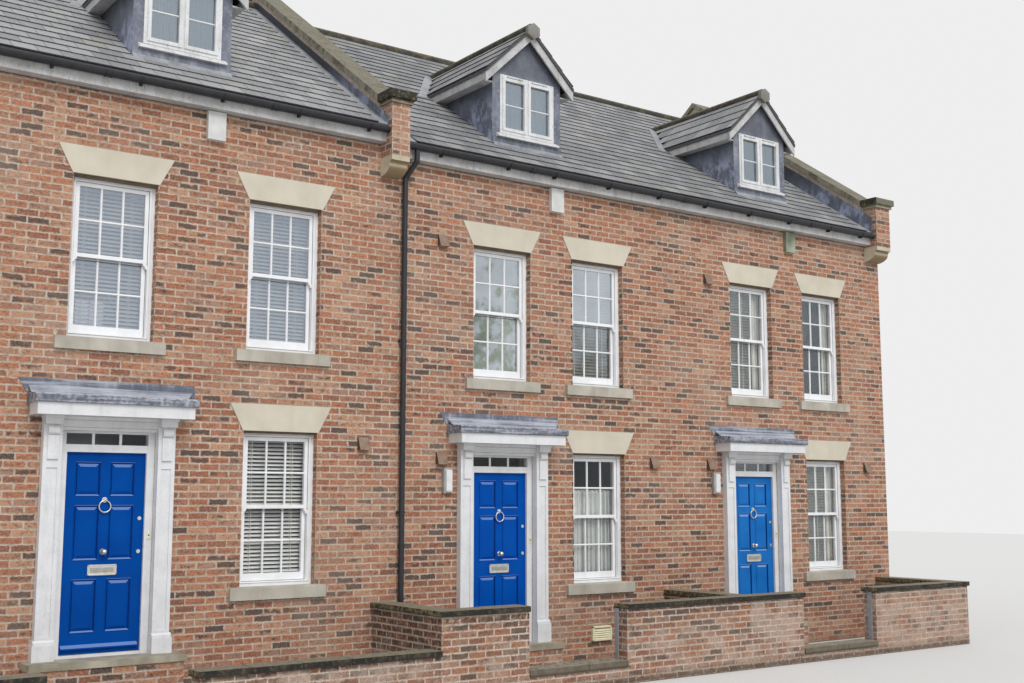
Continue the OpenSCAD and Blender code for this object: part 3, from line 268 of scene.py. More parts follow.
def mortarSkin(name, low, high, soil):   # with plaster in the rooms and blocks on the party wall
    skin = Skin(name)
    sand = skin.noise(220.0, 2.0)
    cloud = skin.noise(2.2, 4.0)
    spots = skin.noise(16.0, 3.0)
    skin.base = skin.pair(cloud, low, high)
    skin.coat(spots.band(0.48, 0.66) * 0.6, soil)
    skin.coat((skin.z + spots * 0.16).band(0.2, 0.12) * 0.8, (84, 74, 61))
    inY = (skin.y > (0.29 + originY)) * (skin.y < (row.depth - 0.29 + originY))
    inX = (skin.x > (row.leftX + 0.05 + originX)) * (skin.x < (row.rightX - 0.2 + originX))
    skin.coat(inX * inY * (skin.z < 6.0), skin.pair(cloud, (104, 98, 90), (122, 116, 107)))
    joint = ((skin.y.fold(0.45) < 0.01) + (skin.z.fold(0.225) < 0.01)).clip()
    block = skin.pair(skin.noise(9.0, 4.0), (150, 148, 143), (172, 169, 163))
    block = skin.mix(joint, block, (120, 116, 110))
    party = skin.x < (row.leftX + originX + 0.001)
    skin.coat(party, block)
    return skin.dress(0.92, skin.bump(sand + cloud - joint * party, 0.5, 0.003))


def stoneSkin(name, pale, dark, stain, mossFrom=None):
    skin = Skin(name)
    cloud = skin.noise(3.5, 5.0)
    grain = skin.noise(120.0, 3.0)
    skin.base = skin.ramp(cloud, (0.3, dark), (0.65, pale))
    skin.coat(skin.noise(9.0, 3.0, (1, 1, 0.15)).band(0.5, 0.75) * stain, (124, 117, 104))
    skin.coat(grain * 0.25, (225, 220, 210), "MULTIPLY")
    if mossFrom is None:
        # painted shade: faces that look downwards, as under the lintels and sills, are darkened
        skin.coat(skin.facing("Z").band(-0.4, -0.8) * 0.6, (104, 90, 72))
    else:
        # painted shade: the downward curve under the kneelers is browned and darkened
        skin.coat(skin.facing("Z").band(-0.05, -0.5) * 0.85, (124, 102, 68))
        moss = skin.ramp(skin.noise(22.0, 4.0), (0.38, (26, 24, 19)), (0.54, (46, 42, 33)),
                         (0.68, (104, 97, 50)))
        moss = skin.mix((skin.x > (9.0 + originX)) * 0.55, moss, (134, 129, 112))
        skin.coat((skin.z + cloud * 0.08).band(mossFrom, mossFrom + 0.08) * 0.985, moss)
    return skin.dress(0.85, skin.bump(grain * 0.6 + cloud * 0.6, 0.45, 0.004))


def mossySkin(name, top, side, moss, joint=None, leftMoss=0.0, blotch=(96, 88, 74)):   # darker at its sides
    skin = Skin(name)
    cloud = skin.noise(6.0, 5.0)
    spots = skin.noise(24.0, 4.0)
    grain = skin.noise(110.0, 3.0)
    flat = skin.facing("Z").band(0.35, 0.75)
    skin.base = skin.mix(flat, skin.mix(cloud.band(0.45, 0.7), side, blotch),
                         skin.mix(spots.band(0.42, 0.62), top, (142, 136, 118)))
    skin.coat((spots + cloud * 0.4).band(0.72, 0.84) * (0.3 + flat * 0.5), moss)
    if leftMoss:
        left = skin.facing("X").band(-0.5, -0.8)
        skin.coat(left * spots.band(0.38, 0.6) * leftMoss, (138, 129, 94))
        skin.coat(flat * skin.noise(48.0, 4.0).band(0.52, 0.64) * 0.6, (74, 68, 55))
    skin.coat(grain * 0.35, (170, 166, 158), "MULTIPLY")
    height = grain * 0.5 + spots * 0.6
    # painted shade: the lower part of each laid block is darkened
    skin.coat(skin.local("Z").band(-0.1, -0.45) * 0.7, (38, 35, 30))
    if joint is not None:
        seam = skin.part(skin.place, joint[0]).fold(joint[1]) < 0.012
        skin.coat(seam * 0.75, (46, 42, 38))
        height = height - seam * 2.0
    return skin.dress(0.9, skin.bump(height, 0.55, 0.006))


def slateSkin():
    skin = Skin("slate")
    burn = skin.tag("burn")
    cleft = skin.noise(30.0, 4.0, (1, 0.5, 0.5))
    skin.base = skin.ramp(skin.tag("tone"), (0.0, (112, 113, 116)), (0.5, (134, 135, 137)),
                          (1.0, (156, 156, 155)))
    skin.coat(cleft.band(0.42, 0.72) * 0.4, (166, 165, 163))
    skin.coat((burn < 0.06) * 0.45, (140, 137, 118))
    skin.coat((burn > 0.93) * 0.4, (96, 98, 104))
    skin.coat(skin.noise(0.9, 3.0).band(0.45, 0.75) * 0.3, (118, 120, 124))
    right = skin.x.band(-0.15 + originX, -0.1 + originX)
    skin.coat(right * 0.14, (84, 86, 90))
    skin.coat((1.0 - right) * 0.14, (186, 186, 186))
    # painted shade: the slate faces that do not look upwards, their tails and sides, are darkened
    skin.coat((skin.facing("Z") < 0.3) * 0.85, (34, 35, 38))
    return skin.dress(0.6, skin.bump(cleft, 0.5, 0.004))


def slateBedSkin():
    skin = Skin("slate edge")
    grain = skin.noise(60.0, 3.0)
    # the bed under the slates is dark: painted shade where it shows between and under the slates
    skin.base = skin.pair(grain, (60, 61, 64), (84, 84, 87))
    return skin.dress(0.8, skin.bump(grain, 0.4, 0.003))


def leadSkin():
    skin = Skin("lead sheet")
    cloud = skin.noise(3.0, 6.0, (1, 1, 0.6), 0.65)
    fine = skin.noise(24.0, 4.0)
    streak = skin.noise(12.0, 3.0, (1, 1, 0.1))
    level = skin.noise(9.0, 4.0, (0.1, 2.5, 2.5))
    swirl = skin.noise(4.5, 6.0, (1, 1.3, 0.8), 0.72)
    spots = skin.noise(22.0, 5.0, (1, 1, 1.6), 0.65)
    # faces that look upwards, which take the painted highlight below
    lap = skin.facing("Z").band(0.1, 0.45)
    canopy = skin.z.band(3.5, 3.4)
    front = skin.y.band(-0.26 + originY, -0.3 + originY)
    cheek = skin.facing("X").bare().band(0.6, 0.8) * (1.0 - canopy)
    run = (skin.z + fine * 0.1).band(7.3, 7.1) * (1.0 - cheek)   # streaks on the aprons below the windows
    shade = (skin.z + swirl * 0.9).band(7.95, 8.35)   # painted shade under the dormer eaves
    gable = (skin.z + fine * 0.1).band(7.95, 8.05) * (1.0 - cheek) * (1.0 - lap)
    skin.base = skin.ramp(cloud, (0.3, (82, 87, 100)), (0.5, (108, 113, 126)), (0.7, (146, 150, 160)))
    skin.coat(fine.band(0.5, 0.75) * 0.5, (160, 163, 172))
    skin.coat(streak.band(0.5, 0.68) * (0.15 + run * 0.35), (78, 81, 90))
    skin.coat(streak.band(0.42, 0.3) * (0.15 + run * 0.3), (186, 188, 194))
    skin.coat(cheek * 0.5, (84, 90, 106))
    skin.coat(swirl.band(0.46, 0.58) * (1.0 - shade) * cheek * 0.85, (164, 173, 198))
    skin.coat(shade * cheek * 0.85, (48, 50, 56))
    skin.coat(gable * 0.6, (80, 83, 91))
    top = skin.ramp(cloud + fine * 0.3, (0.45, (128, 133, 147)), (0.75, (178, 182, 192)))
    valley = skin.ramp(cloud + fine * 0.3, (0.45, (112, 116, 122)), (0.75, (160, 163, 166)))
    # painted highlight: lead that faces upwards is painted paler, as if lit by the sky
    skin.coat(lap, skin.mix(canopy, valley, top))
    skin.coat(level.band(0.5, 0.6) * (canopy * 0.6), (182, 186, 195))
    skin.coat(level.band(0.48, 0.38) * (canopy * 0.55), (84, 90, 104))
    skin.coat(spots.band(0.47, 0.6) * (front * 0.6), (68, 70, 77))
    skin.coat(spots.band(0.42, 0.32) * (front * 0.45), (180, 184, 192))
    return skin.dress(0.5 + cloud * 0.3, skin.bump(cloud + fine * 0.4, 0.35, 0.012), Metallic=0.1)


def timberSkin(name, pale, dark, rough, stain=0.12, under=0.4):
    skin = Skin(name)
    grime = skin.noise(5.0, 5.0)
    brush = skin.noise(90.0, 2.0, (1, 1, 0.05))
    skin.base = skin.ramp(grime, (0.25, dark), (0.6, pale))
    skin.coat(skin.noise(16.0, 3.0, (1, 1, 0.1)).band(0.52, 0.72) * stain, (132, 130, 122))
    skin.coat(skin.noise(60.0, 4.0, (1, 1, 0.5)).band(0.56, 0.66) * stain, (112, 108, 100))
    # painted shade: faces that look downwards are darkened, by the share under
    skin.coat(skin.facing("Z").band(-0.4, -0.8) * under, (138, 134, 126))
    return skin.dress(rough, skin.bump(brush + grime * 0.3, 0.12, 0.002), Specular_IOR_Level=0.35)


def plainSkin(name, low, high, rough, scale=12.0, strength=0.15, metal=0.0):
    skin = Skin(name)
    cloud = skin.noise(scale, 4.0)
    skin.base = skin.pair(cloud, low, high)
    return skin.dress(rough + cloud * 0.12, skin.bump(cloud, strength, 0.002), Metallic=metal)


def weaveSkin(name, low, high, clear):   # thin cloth with a fine woven grid, with painted shade in its folds
    skin = Skin(name)
    across = skin.x.fold(0.004) < 0.002
    down = skin.z.fold(0.004) < 0.002
    skin.base = skin.pair(skin.noise(4.0, 3.0), low, high)
    skin.coat((across + down).clip() * 0.12, low)
    # painted shade: faces that turn sideways in the folds are darkened
    skin.coat(skin.facing("X").bare().band(0.25, 0.85) * 0.55, (112, 114, 108))
    return skin.dress(0.85, skin.bump(across + down, 0.2, 0.001), Alpha=clear, Specular_IOR_Level=0.1)


def doorSkin(name, deep, bright, pale):
    skin = Skin(name)
    slope = skin.facing("Z")   # how far a face looks up: painted highlight on the upper sides of the mouldings, painted shade on their undersides
    skin.base = skin.pair(skin.noise(2.5, 3.0), deep, bright)
    # painted highlight: faces that slope upwards take the pale colour
    skin.coat((slope.band(0.08, 0.24) - slope.band(0.78, 0.84)) * 0.55, pale)
    # painted shade: faces that look downwards are darkened
    skin.coat(slope.band(-0.1, -0.35) * 0.6, (0, 30, 84))
    brush = skin.noise(70.0, 2.0, (1, 1, 0.04))
    return skin.dress(0.3, skin.bump(brush, 0.05, 0.002), Specular_IOR_Level=0.05)


glassLook = Sizes(tint=(205, 216, 230), rest=(212, 221, 226), low=0.015, left=0.3, middle=0.62, second=0.5,
                  third=0.24, thirdHigh=0.36, dormer=0.26, rim=0.25, patchScale=1.7, patch=0.9,
                  leaves=(176, 188, 166), attic=(180, 192, 202))


def glassSkin():   # a mirror coat over clear glass, its strength and tint painted by place as a painted reflection, stronger upstairs where the panes meet the sky
    skin = Skin("window glass")
    beyondA = skin.x.band(-0.6 + originX, -0.4 + originX)
    beyondB = skin.x.band(5.0 + originX, 5.1 + originX)
    second = skin.x.band(2.4 + originX, 2.5 + originX)
    upstairs = skin.z.band(3.2, 3.6)
    higher = skin.z.band(4.5, 4.62)   # the upper sashes, which lean on more sky
    attic = skin.z.band(6.7, 6.8)
    street = skin.y < 0.0
    # painted reflection of trees: green patches on some panes, with less of the mirror coat there
    treeReflection = (skin.noise(5.0, 6.0, (1, 1, 1), 0.7) - higher * 0.07).band(0.44, 0.56)
    treeReflection = treeReflection * beyondA * (1.0 - second) * (1.0 - attic)
    skin.base = skin.mix(beyondA, glassLook.tint, glassLook.rest)
    skin.coat(treeReflection * 0.8, glassLook.leaves)
    skin.coat(attic, glassLook.attic)
    skin.dress(0.03, skin.bump(skin.noise(1.3, 2.0), 0.05, 0.05), Metallic=1.0)
    clear = skin.add("ShaderNodeBsdfTransparent", None, None, "BSDF")
    fresnel = skin.add("ShaderNodeFresnel", None, {"IOR": 1.45}, "Fac")
    change = beyondA * (glassLook.middle - glassLook.left)
    change = change - beyondA * second * (1.0 - higher) * glassLook.second
    change = change - beyondB * (glassLook.third + higher * glassLook.thirdHigh)
    clouds = (skin.noise(glassLook.patchScale, 4.0) - 0.5) * glassLook.patch
    change = change + clouds * (beyondA - beyondB * 0.65)
    change = change * (1.0 - attic) + attic * glassLook.dormer - treeReflection * 0.22
    share = (glassLook.left + change * street).clip() * upstairs * 0.95 + glassLook.low
    share = (share + fresnel * glassLook.rim).clip()
    mirror = Wire(skin, skin.surface.outputs[0])
    joined = skin.add("ShaderNodeMixShader", None, {0: share, 1: clear, 2: mirror})
    skin.feed(skin.tree.nodes["Material Output"].inputs["Surface"], joined)
    return skin.material


def cowlSkin():   # brown plastic, with painted shade on its cheeks
    skin = Skin("brown plastic")
    cloud = skin.noise(14.0, 4.0)
    skin.base = skin.pair(cloud, (122, 98, 82), (146, 122, 104))
    # painted shade: the faces that look sideways are darkened
    skin.coat(skin.facing("X").bare().band(0.5, 0.8) * 0.75, (52, 40, 34))
    return skin.dress(0.75, skin.bump(cloud, 0.2, 0.002))


def boxSkin():   # the right-hand alarm box is green-grey, the others white
    skin = Skin("alarm box")
    cloud = skin.noise(8.0, 4.0)
    skin.base = skin.pair(cloud, (194, 195, 192), (212, 213, 210))
    right = skin.x > (5.0 + originX)
    skin.coat(right, skin.pair(skin.noise(3.0, 2.0), (96, 104, 86), (164, 170, 150)))
    return skin.dress(0.45 - right * 0.2, skin.bump(cloud, 0.1, 0.002))


def boardSkin(name, low, high, step):
    skin = Skin(name)
    grain = skin.noise(14.0, 4.0, (0.1, 1, 1))
    seam = skin.y.fold(step) < 0.004
    skin.base = skin.pair(grain, low, high)
    skin.coat(seam * 0.7, (60, 48, 38))
    return skin.dress(0.6, skin.bump(grain - seam, 0.3, 0.003))


print("making the finishes")
finishes = {
    "brick": brickSkin("facing brick", 0.25, brickLook.burnt),
    "gardenBrick": brickSkin("garden brick", 0.1, brickLook.gardenBurnt, True),
    "mortar": mortarSkin("mortar", (178, 164, 148), (203, 190, 174), (138, 123, 108)),
    "gardenMortar": mortarSkin("garden mortar", (176, 164, 150), (204, 193, 180), (126, 114, 100)),
    "stone": stoneSkin("cream stone", (206, 199, 182), (196, 188, 170), 0.06),
    "sill": stoneSkin("sill stone", (188, 183, 171), (162, 157, 145), 0.3),
    "kneeler": stoneSkin("kneeler stone", (204, 196, 174), (180, 170, 146), 0.25, row.capZ),
    "coping": mossySkin("coping stone", (120, 116, 102), (144, 139, 124), (90, 87, 64), ("Y", 0.6)),
    "gardenCoping": mossySkin("garden coping", (136, 128, 110), (32, 29, 24), (112, 104, 84), leftMoss=0.8,
                              blotch=(66, 60, 49)),
    "step": stoneSkin("step stone", (178, 172, 154), (126, 119, 103), 0.4),
    "flag": mossySkin("flagstone", (152, 145, 128), (112, 104, 88), (86, 80, 60)),
    "block": stoneSkin("ridge block stone", (140, 138, 133), (112, 110, 105), 0.3),
    "slate": slateSkin(),
    "slateBed": slateBedSkin(),
    "ridge": mossySkin("ridge tile", (86, 82, 73), (60, 58, 53), (108, 106, 70), ("X", 0.45)),
    "lead": leadSkin(),
    "white": timberSkin("white paint", (220, 221, 223), (208, 209, 210), 0.4),
    "windowWhite": timberSkin("white window paint", (236, 237, 239), (224, 225, 226), 0.4, 0.05),
    "dormerWhite": timberSkin("weathered white paint", (220, 221, 222), (204, 205, 204), 0.45, 0.3),
    "grey": timberSkin("grey paint", (193, 193, 193), (166, 166, 165), 0.5, 0.4, 0.1),
    "black": plainSkin("black plastic", (24, 25, 29), (38, 40, 46), 0.42),
    "doorA": doorSkin("blue paint a", (0, 64, 144), (0, 73, 156), (136, 164, 212)),
    "doorB": doorSkin("blue paint b", (0, 68, 154), (0, 78, 168), (128, 162, 218)),
    "doorC": doorSkin("blue paint c", (20, 98, 172), (34, 112, 188), (150, 184, 226)),
    "doorShade": doorSkin("shaded blue paint", (0, 40, 104), (0, 48, 116), (0, 60, 130)),
    "brass": plainSkin("bright metal", (206, 204, 196), (226, 224, 217), 0.3, 30.0, 0.03, 1.0),
    "flap": plainSkin("dull metal", (158, 158, 153), (178, 178, 173), 0.45, 30.0, 0.03, 0.7),
    "plateBrownAndShade": plainSkin("brown paint", (92, 76, 60), (116, 98, 78), 0.7),
    "gap": plainSkin("joint shadow", (84, 84, 84), (104, 103, 101), 0.8),
    # painted shade: the rear door panes are dark and opaque, standing for glass with an unlit room behind
    "pane": plainSkin("door pane", (44, 50, 56), (72, 80, 88), 0.08, 3.0, 0.02),
    "steel": plainSkin("galvanised steel", (138, 142, 146), (162, 165, 168), 0.5, 20.0, 0.1, 0.3),
    "glass": glassSkin(),
    "vent": cowlSkin(),
    "cream": plainSkin("cream plastic", (218, 213, 176), (232, 228, 196), 0.55),
    "box": boxSkin(),
    "lamp": plainSkin("lamp diffuser", (206, 209, 208), (222, 225, 225), 0.3),
    "lampBody": plainSkin("lamp body", (140, 143, 138), (168, 170, 165), 0.45),
    "concrete": plainSkin("concrete", (140, 132, 120), (158, 150, 138), 0.85, 4.0, 0.4),
    "boards": boardSkin("floor boards", (150, 118, 84), (176, 142, 104), 0.14),
    "blind": plainSkin("blind slat", (226, 226, 220), (236, 236, 231), 0.5),
    "darkSlat": plainSkin("dark blind slat", (112, 109, 88), (134, 130, 108), 0.6),
    "net": weaveSkin("net curtain", (216, 220, 216), (238, 240, 236), 0.85),
    "cloth": weaveSkin("curtain cloth", (214, 212, 198), (232, 230, 218), 1.0),
}
nodeFinishes = {
    "mortar": "front_wall_base front_wall_ground front_wall_upper rear_wall party_walls gable_wall",
    "gardenMortar": "garden_walls low_garden_walls entrance_slabs",
    "stone": "lintels", "sill": "sills", "kneeler": "kneelers", "coping": "parapet_copings",
    "gardenCoping": "garden_copings", "step": "door_steps", "block": "dormer_ridge_blocks",
    "slateBed": "roof_front roof_rear dormer_roofs", "ridge": "ridge_tiles", "lead": "dormer_walls leadwork",
    "white": "door_frames door_surrounds door_canopies rear_doors",
    "windowWhite": "window_frames window_sashes", "dormerWhite": "dormer_windows",
    "grey": "fascia_boards dormer_bargeboards", "black": "gutters downpipe",
    "doorA": "door_leaf_a", "doorB": "door_leaf_b", "doorC": "door_leaf_c",
    "brass": "door_furniture_a door_furniture_b door_furniture_c", "glass": "window_glass",
    "vent": "wall_vents", "box": "alarm_boxes", "lamp": "wall_lights",
    "concrete": "ground_floors", "boards": "upper_floors",
}
for finish, names in nodeFinishes.items():
    for name in names.split():
        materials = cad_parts[name].data.materials
        materials.clear()
        materials.append(finishes[finish])


def blockTree():   # one block on every point, with the point's own size and turn
    tree = bpy.data.node_groups.new("blocks on points", "GeometryNodeTree")
    for name, kind in (("Geometry", "Geometry"), ("Proud", "Float"), ("Tilt", "Float"), ("Seed", "Int"),
                       ("Finish", "Material"), ("Own shape", "Bool"), ("Shape", "Object")):
        tree.interface.new_socket(name, in_out="INPUT", socket_type="NodeSocket" + kind)
    tree.interface.new_socket("Geometry", in_out="OUTPUT", socket_type="NodeSocketGeometry")
    add = Graph(tree).add

    def given(name):
        return add("NodeGroupInput", None, None, name)

    def named(name):
        return add("GeometryNodeInputNamedAttribute", {"data_type": "FLOAT_VECTOR"}, {"Name": name},
                   "Attribute")

    def chance(step, low=0.0):   # a random number from low to 1 for each block
        seed = given("Seed") + step
        return add("FunctionNodeRandomValue", {"data_type": "FLOAT"}, {2: low, 3: 1.0, "Seed": seed}, 1)

    def turned(angles):
        return add("FunctionNodeEulerToRotation", None, {0: angles})

    def store(kind, domain, name, geometry, value):
        return add("GeometryNodeStoreNamedAttribute", {"data_type": kind, "domain": domain},
                   {"Geometry": geometry, "Name": name, "Value": value})

    cube = add("GeometryNodeMeshCube", None, None, "Mesh")
    own = add("GeometryNodeObjectInfo", None, {"Object": given("Shape")}, "Geometry")
    pick = add("GeometryNodeSwitch", {"input_type": "GEOMETRY"},
               {"Switch": given("Own shape"), "False": cube, "True": own}, "Output")
    spot = add("GeometryNodeInputPosition")
    block = store("FLOAT_VECTOR", "POINT", "local", pick, spot)   # where a spot lies on its own block
    last = add("GeometryNodeInstanceOnPoints", None,
               {"Points": given("Geometry"), "Instance": block, "Rotation": turned(named("turn")),
                "Scale": named("size")})
    shift = add("ShaderNodeCombineXYZ", None, {"Y": chance(11, -1.0) * given("Proud")})
    last = add("GeometryNodeTranslateInstances", None, {"Instances": last, "Translation": shift})
    lean = add("ShaderNodeCombineXYZ", None, {"X": chance(23, -1.0) * given("Tilt"),
                                              "Z": chance(37, -1.0) * given("Tilt")})
    last = add("GeometryNodeRotateInstances", None, {"Instances": last, "Rotation": turned(lean)})
    for name, step in (("tone", 1), ("burn", 2)):
        last = store("FLOAT", "INSTANCE", name, last, chance(step))
    last = add("GeometryNodeRealizeInstances", None, {0: last})
    last = add("GeometryNodeSetMaterial", None, {"Geometry": last, "Material": given("Finish")})
    tree.links.new(last.socket, tree.nodes.new("NodeGroupOutput").inputs[0])
    return tree


blockMaker = blockTree()


def newThing(name, data):   # an object in the scene
    thing = bpy.data.objects.new(name, data)
    scene.collection.objects.link(thing)
    return thing


def growMesh(piece, tree, values):   # runs a tree on a piece once and keeps the plain mesh
    modifier = piece.modifiers.new("grow", "NODES")
    modifier.node_group = tree
    for item in tree.interface.items_tree:
        if item.in_out == "INPUT" and item.name in values:
            modifier[item.identifier] = values[item.name]
    ready = piece.evaluated_get(bpy.context.evaluated_depsgraph_get())
    mesh = bpy.data.meshes.new_from_object(ready)
    piece.modifiers.clear()
    piece.data = mesh
    mesh.name = piece.name


def mount(piece, body="house_row"):
    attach(piece, body)
    return piece


def layBlocks(name, blocks, finish, slot, proud=0.0, tilt=0.0, seed=1, shape=None):
    mesh = bpy.data.meshes.new(name)
    mesh.from_pydata([block[0] for block in blocks], [], [])
    for key, index in (("size", 1), ("turn", 2)):
        data = mesh.attributes.new(key, "FLOAT_VECTOR", "POINT")
        data.data.foreach_set("vector", [value for block in blocks for value in block[index]])
    values = {"Proud": proud, "Tilt": tilt, "Seed": seed, "Finish": finishes[finish]}
    if shape is not None:
        values["Own shape"] = True
        values["Shape"] = newThing(name + "_shape", solid(name + "_shape", shape))
    piece = newThing(name, mesh)
    growMesh(piece, blockMaker, values)
    if shape is not None:
        bpy.data.objects.remove(values["Shape"])
    print(name, len(blocks), "blocks,", sum(len(p.vertices) - 2 for p in piece.data.polygons), "triangles")
    return mount(piece)


def solid(name, parts):   # one mesh from closed parts, with every face turned outwards
    shell = bmesh.new()
    for points, faces in parts:
        corners = [shell.verts.new(point) for point in points]
        for face in faces:
            shell.faces.new([corners[index] for index in face])
    bmesh.ops.recalc_face_normals(shell, faces=shell.faces)
    mesh = bpy.data.meshes.new(name)
    shell.to_mesh(mesh)
    shell.free()
    return mesh


def weld(name, parts, finish, body="house_row"):   # a piece from closed parts
    mesh = solid(name, parts)
    mesh.materials.append(finishes[finish])
    return mount(newThing(name, mesh), body)


def prism(outline, start, end, place):   # a flat outline carried from start to end
    count = len(outline)
    points = [place(a, b, c) for c in (start, end) for a, b in outline]
    faces = [(i, (i + 1) % count, count + (i + 1) % count, count + i) for i in range(count)]
    return points, faces + [tuple(range(count)), tuple(range(count, 2 * count))]


def alongX(a, b, c):
    return Vector((c, a, b))


def alongY(a, b, c):
    return Vector((a, c, b))


def upZ(a, b, c):
    return Vector((a, b, c))


def cuboid(low, high):
    x0, y0, z0 = low
    x1, y1, z1 = high
    points = [Vector(p) for p in ((x0, y0, z0), (x1, y0, z0), (x1, y1, z0), (x0, y1, z0),
                                  (x0, y0, z1), (x1, y0, z1), (x1, y1, z1), (x0, y1, z1))]
    return points, [(0, 3, 2, 1), (4, 5, 6, 7), (0, 1, 5, 4), (1, 2, 6, 5), (2, 3, 7, 6), (3, 0, 4, 7)]


def ease(low, high, edge):   # a box with its edges cut back, kept in low to high
    shell = bmesh.new()
    bmesh.ops.create_cube(shell, size=1.0)
    for corner in shell.verts:
        corner.co = [high[axis] if corner.co[axis] > 0 else low[axis] for axis in range(3)]
    bmesh.ops.bevel(shell, geom=shell.edges, offset=edge, segments=2, profile=0.6, affect="EDGES",
                    clamp_overlap=True)
    points = [corner.co.copy() for corner in shell.verts]
    shell.verts.index_update()
    faces = [tuple(corner.index for corner in face.verts) for face in shell.faces]
    shell.free()
    return points, faces


def slab(x0, x1, y0, y1, z0, z1, edge):
    return ease(at(x0, y0, z0), at(x1, y1, z1), edge)


def arcBand(inner, outer, first, last, steps, x0, x1):   # part of a ring round the X axis
    angles = [math.radians(first + (last - first) * step / steps) for step in range(steps + 1)]
    outline = [(outer * math.cos(a), outer * math.sin(a)) for a in angles]
    outline += [(inner * math.cos(a), inner * math.sin(a)) for a in reversed(angles)]
    return prism(outline, x0, x1, alongX)


def tube(path, radius, around=12):   # a round bar through the points of a path
    points = []
    faces = []
    for index, spot in enumerate(path):
        before = path[max(index - 1, 0)]
        after = path[min(index + 1, len(path) - 1)]
        along = (after - before).normalized()
        side = along.orthogonal().normalized()
        other = along.cross(side)
        for step in range(around):
            angle = 2 * math.pi * step / around
            points.append(spot + (side * math.cos(angle) + other * math.sin(angle)) * radius)
        if index:
            base = (index - 1) * around
            for step in range(around):
                ahead = (step + 1) % around
                faces.append((base + step, base + ahead, base + around + ahead, base + around + step))
    faces.append(tuple(reversed(range(around))))
    faces.append(tuple(range(len(points) - around, len(points))))
    return points, faces


def rim(low, high, outline, face=1):   # a mitred ring; the outline runs inwards and along Y
    points = []
    for inward, deep in outline:
        x0, x1, z0, z1 = low.x + inward, high.x - inward, low.z + inward, high.z - inward
        points += [Vector((x, low.y + face * deep, z)) for x, z in ((x0, z0), (x1, z0), (x1, z1), (x0, z1))]
    count = len(outline)
    faces = [(i * 4 + k, i * 4 + (k + 1) % 4, (i + 1) % count * 4 + (k + 1) % 4, (i + 1) % count * 4 + k)
             for i in range(count) for k in range(4)]
    return points, faces


# Brickwork: every wall face is laid course by course in stretcher bond, cut round its openings
bricks = Sizes(length=0.212, height=0.062, joint=0.013, depth=0.02, proud=0.003, jitter=0.0008, tilt=0.004,
               least=0.028, thinnest=0.012, cornerShift=0.11, revealShift=0.115)
coursing = bricks.height + bricks.joint
ways = Sizes(right=(1, 0, 0), left=(-1, 0, 0), back=(0, 1, 0), street=(0, -1, 0))
aboveAll = 9   # a height over every brick of the street faces


def cutAway(rects, hole):
    kept = []
    h0, h1, k0, k1 = hole
    for u0, u1, z0, z1 in rects:
        if h1 <= u0 or h0 >= u1 or k1 <= z0 or k0 >= z1:
            kept.append((u0, u1, z0, z1))
            continue
        if h0 > u0:
            kept.append((u0, h0, z0, z1))
        if h1 < u1:
            kept.append((h1, u1, z0, z1))
        if k0 > z0:
            kept.append((max(u0, h0), min(u1, h1), z0, k0))
        if k1 < z1:
            kept.append((max(u0, h0), min(u1, h1), k1, z1))
    return kept


def bond(x, y, way, width, low, high, holes=(), shift=0.0):
    # x and y are the face's left end seen from outside, and way its direction to the right
    corner = at(x, y, 0)
    along = Vector(way)
    outward = along.cross(Vector((0, 0, 1)))
    turn = (0.0, 0.0, math.atan2(along.y, along.x))
    blocks = []
    first = math.floor((low - row.headZ) / coursing)
    last = math.ceil((high - row.headZ) / coursing)
    for course in range(first, last):
        bottom = row.headZ + course * coursing + bricks.joint / 2
        start = -bricks.length - shift + (course % 2) * (bricks.length + bricks.joint) / 2
        rects = []
        while start < width:
            rect = (max(start, 0.0), min(start + bricks.length, width), max(bottom, low),
                    min(bottom + bricks.height, high))
            start += bricks.length + bricks.joint
            if rect[1] > rect[0] and rect[3] > rect[2]:
                rects.append(rect)
        for hole in holes:
            rects = cutAway(rects, hole(bottom + bricks.height / 2) if callable(hole) else hole)
        for u0, u1, z0, z1 in rects:
            if u1 - u0 > bricks.least and z1 - z0 > bricks.thinnest:
                centre = corner + along * (u0 + u1) / 2 + outward * (bricks.proud - bricks.depth / 2)
                centre.z = (z0 + z1) / 2
                blocks.append((centre, (u1 - u0, bricks.depth, z1 - z0), turn))
    return blocks


def streetFace(rear):   # the front, or the rear seen from behind
    left, right = row.leftX, row.rightX
    holes = []

    def cut(x0, x1, z0, z1):
        holes.append((*span(x0, x1), z0, z1))

    def span(x0, x1):
        return (right - x1, right - x0) if rear else (x0 - left, x1 - left)

    def splay(x, top):   # a lintel, wider in each course up
        def hole(z):
            share = min(max((z - 0.03 - top) / row.lintelH, 0.0), 1.0)
            half = (row.lintelW + (row.lintelTopW - row.lintelW) * share) / 2
            return (*span(x - half, x + half), top, top + row.lintelH)
        return hole

    for house in houses:
        for x, top in house.windows:
            sill = top - row.windowH
            cut(x - row.windowW / 2, x + row.windowW / 2, sill, top)
            cut(x - row.sillW / 2, x + row.sillW / 2, sill - row.sillH, sill)
        half = (row.windowW if rear else row.doorHoleW) / 2
        cut(house.door - half, house.door + half, house.step, house.head)
        heads = house.windows + [(house.door, house.head)] * rear
        holes += [splay(x, top) for x, top in heads]
    cut(row.pierRight, row.gablePier, row.fasciaZ, aboveAll)
    cut(left, row.pierLeft, row.fasciaZ + houses[0].rise, aboveAll)
    for x0, x1 in piers:
        cut(x0, x1, row.kneelerZ, aboveAll)
    high = row.fasciaZ + houses[0].rise
    if rear:
        return bond(right, row.depth, ways.left, right - left, 0, high, holes)
    return bond(left, 0, ways.right, right - left, 0, high, holes)


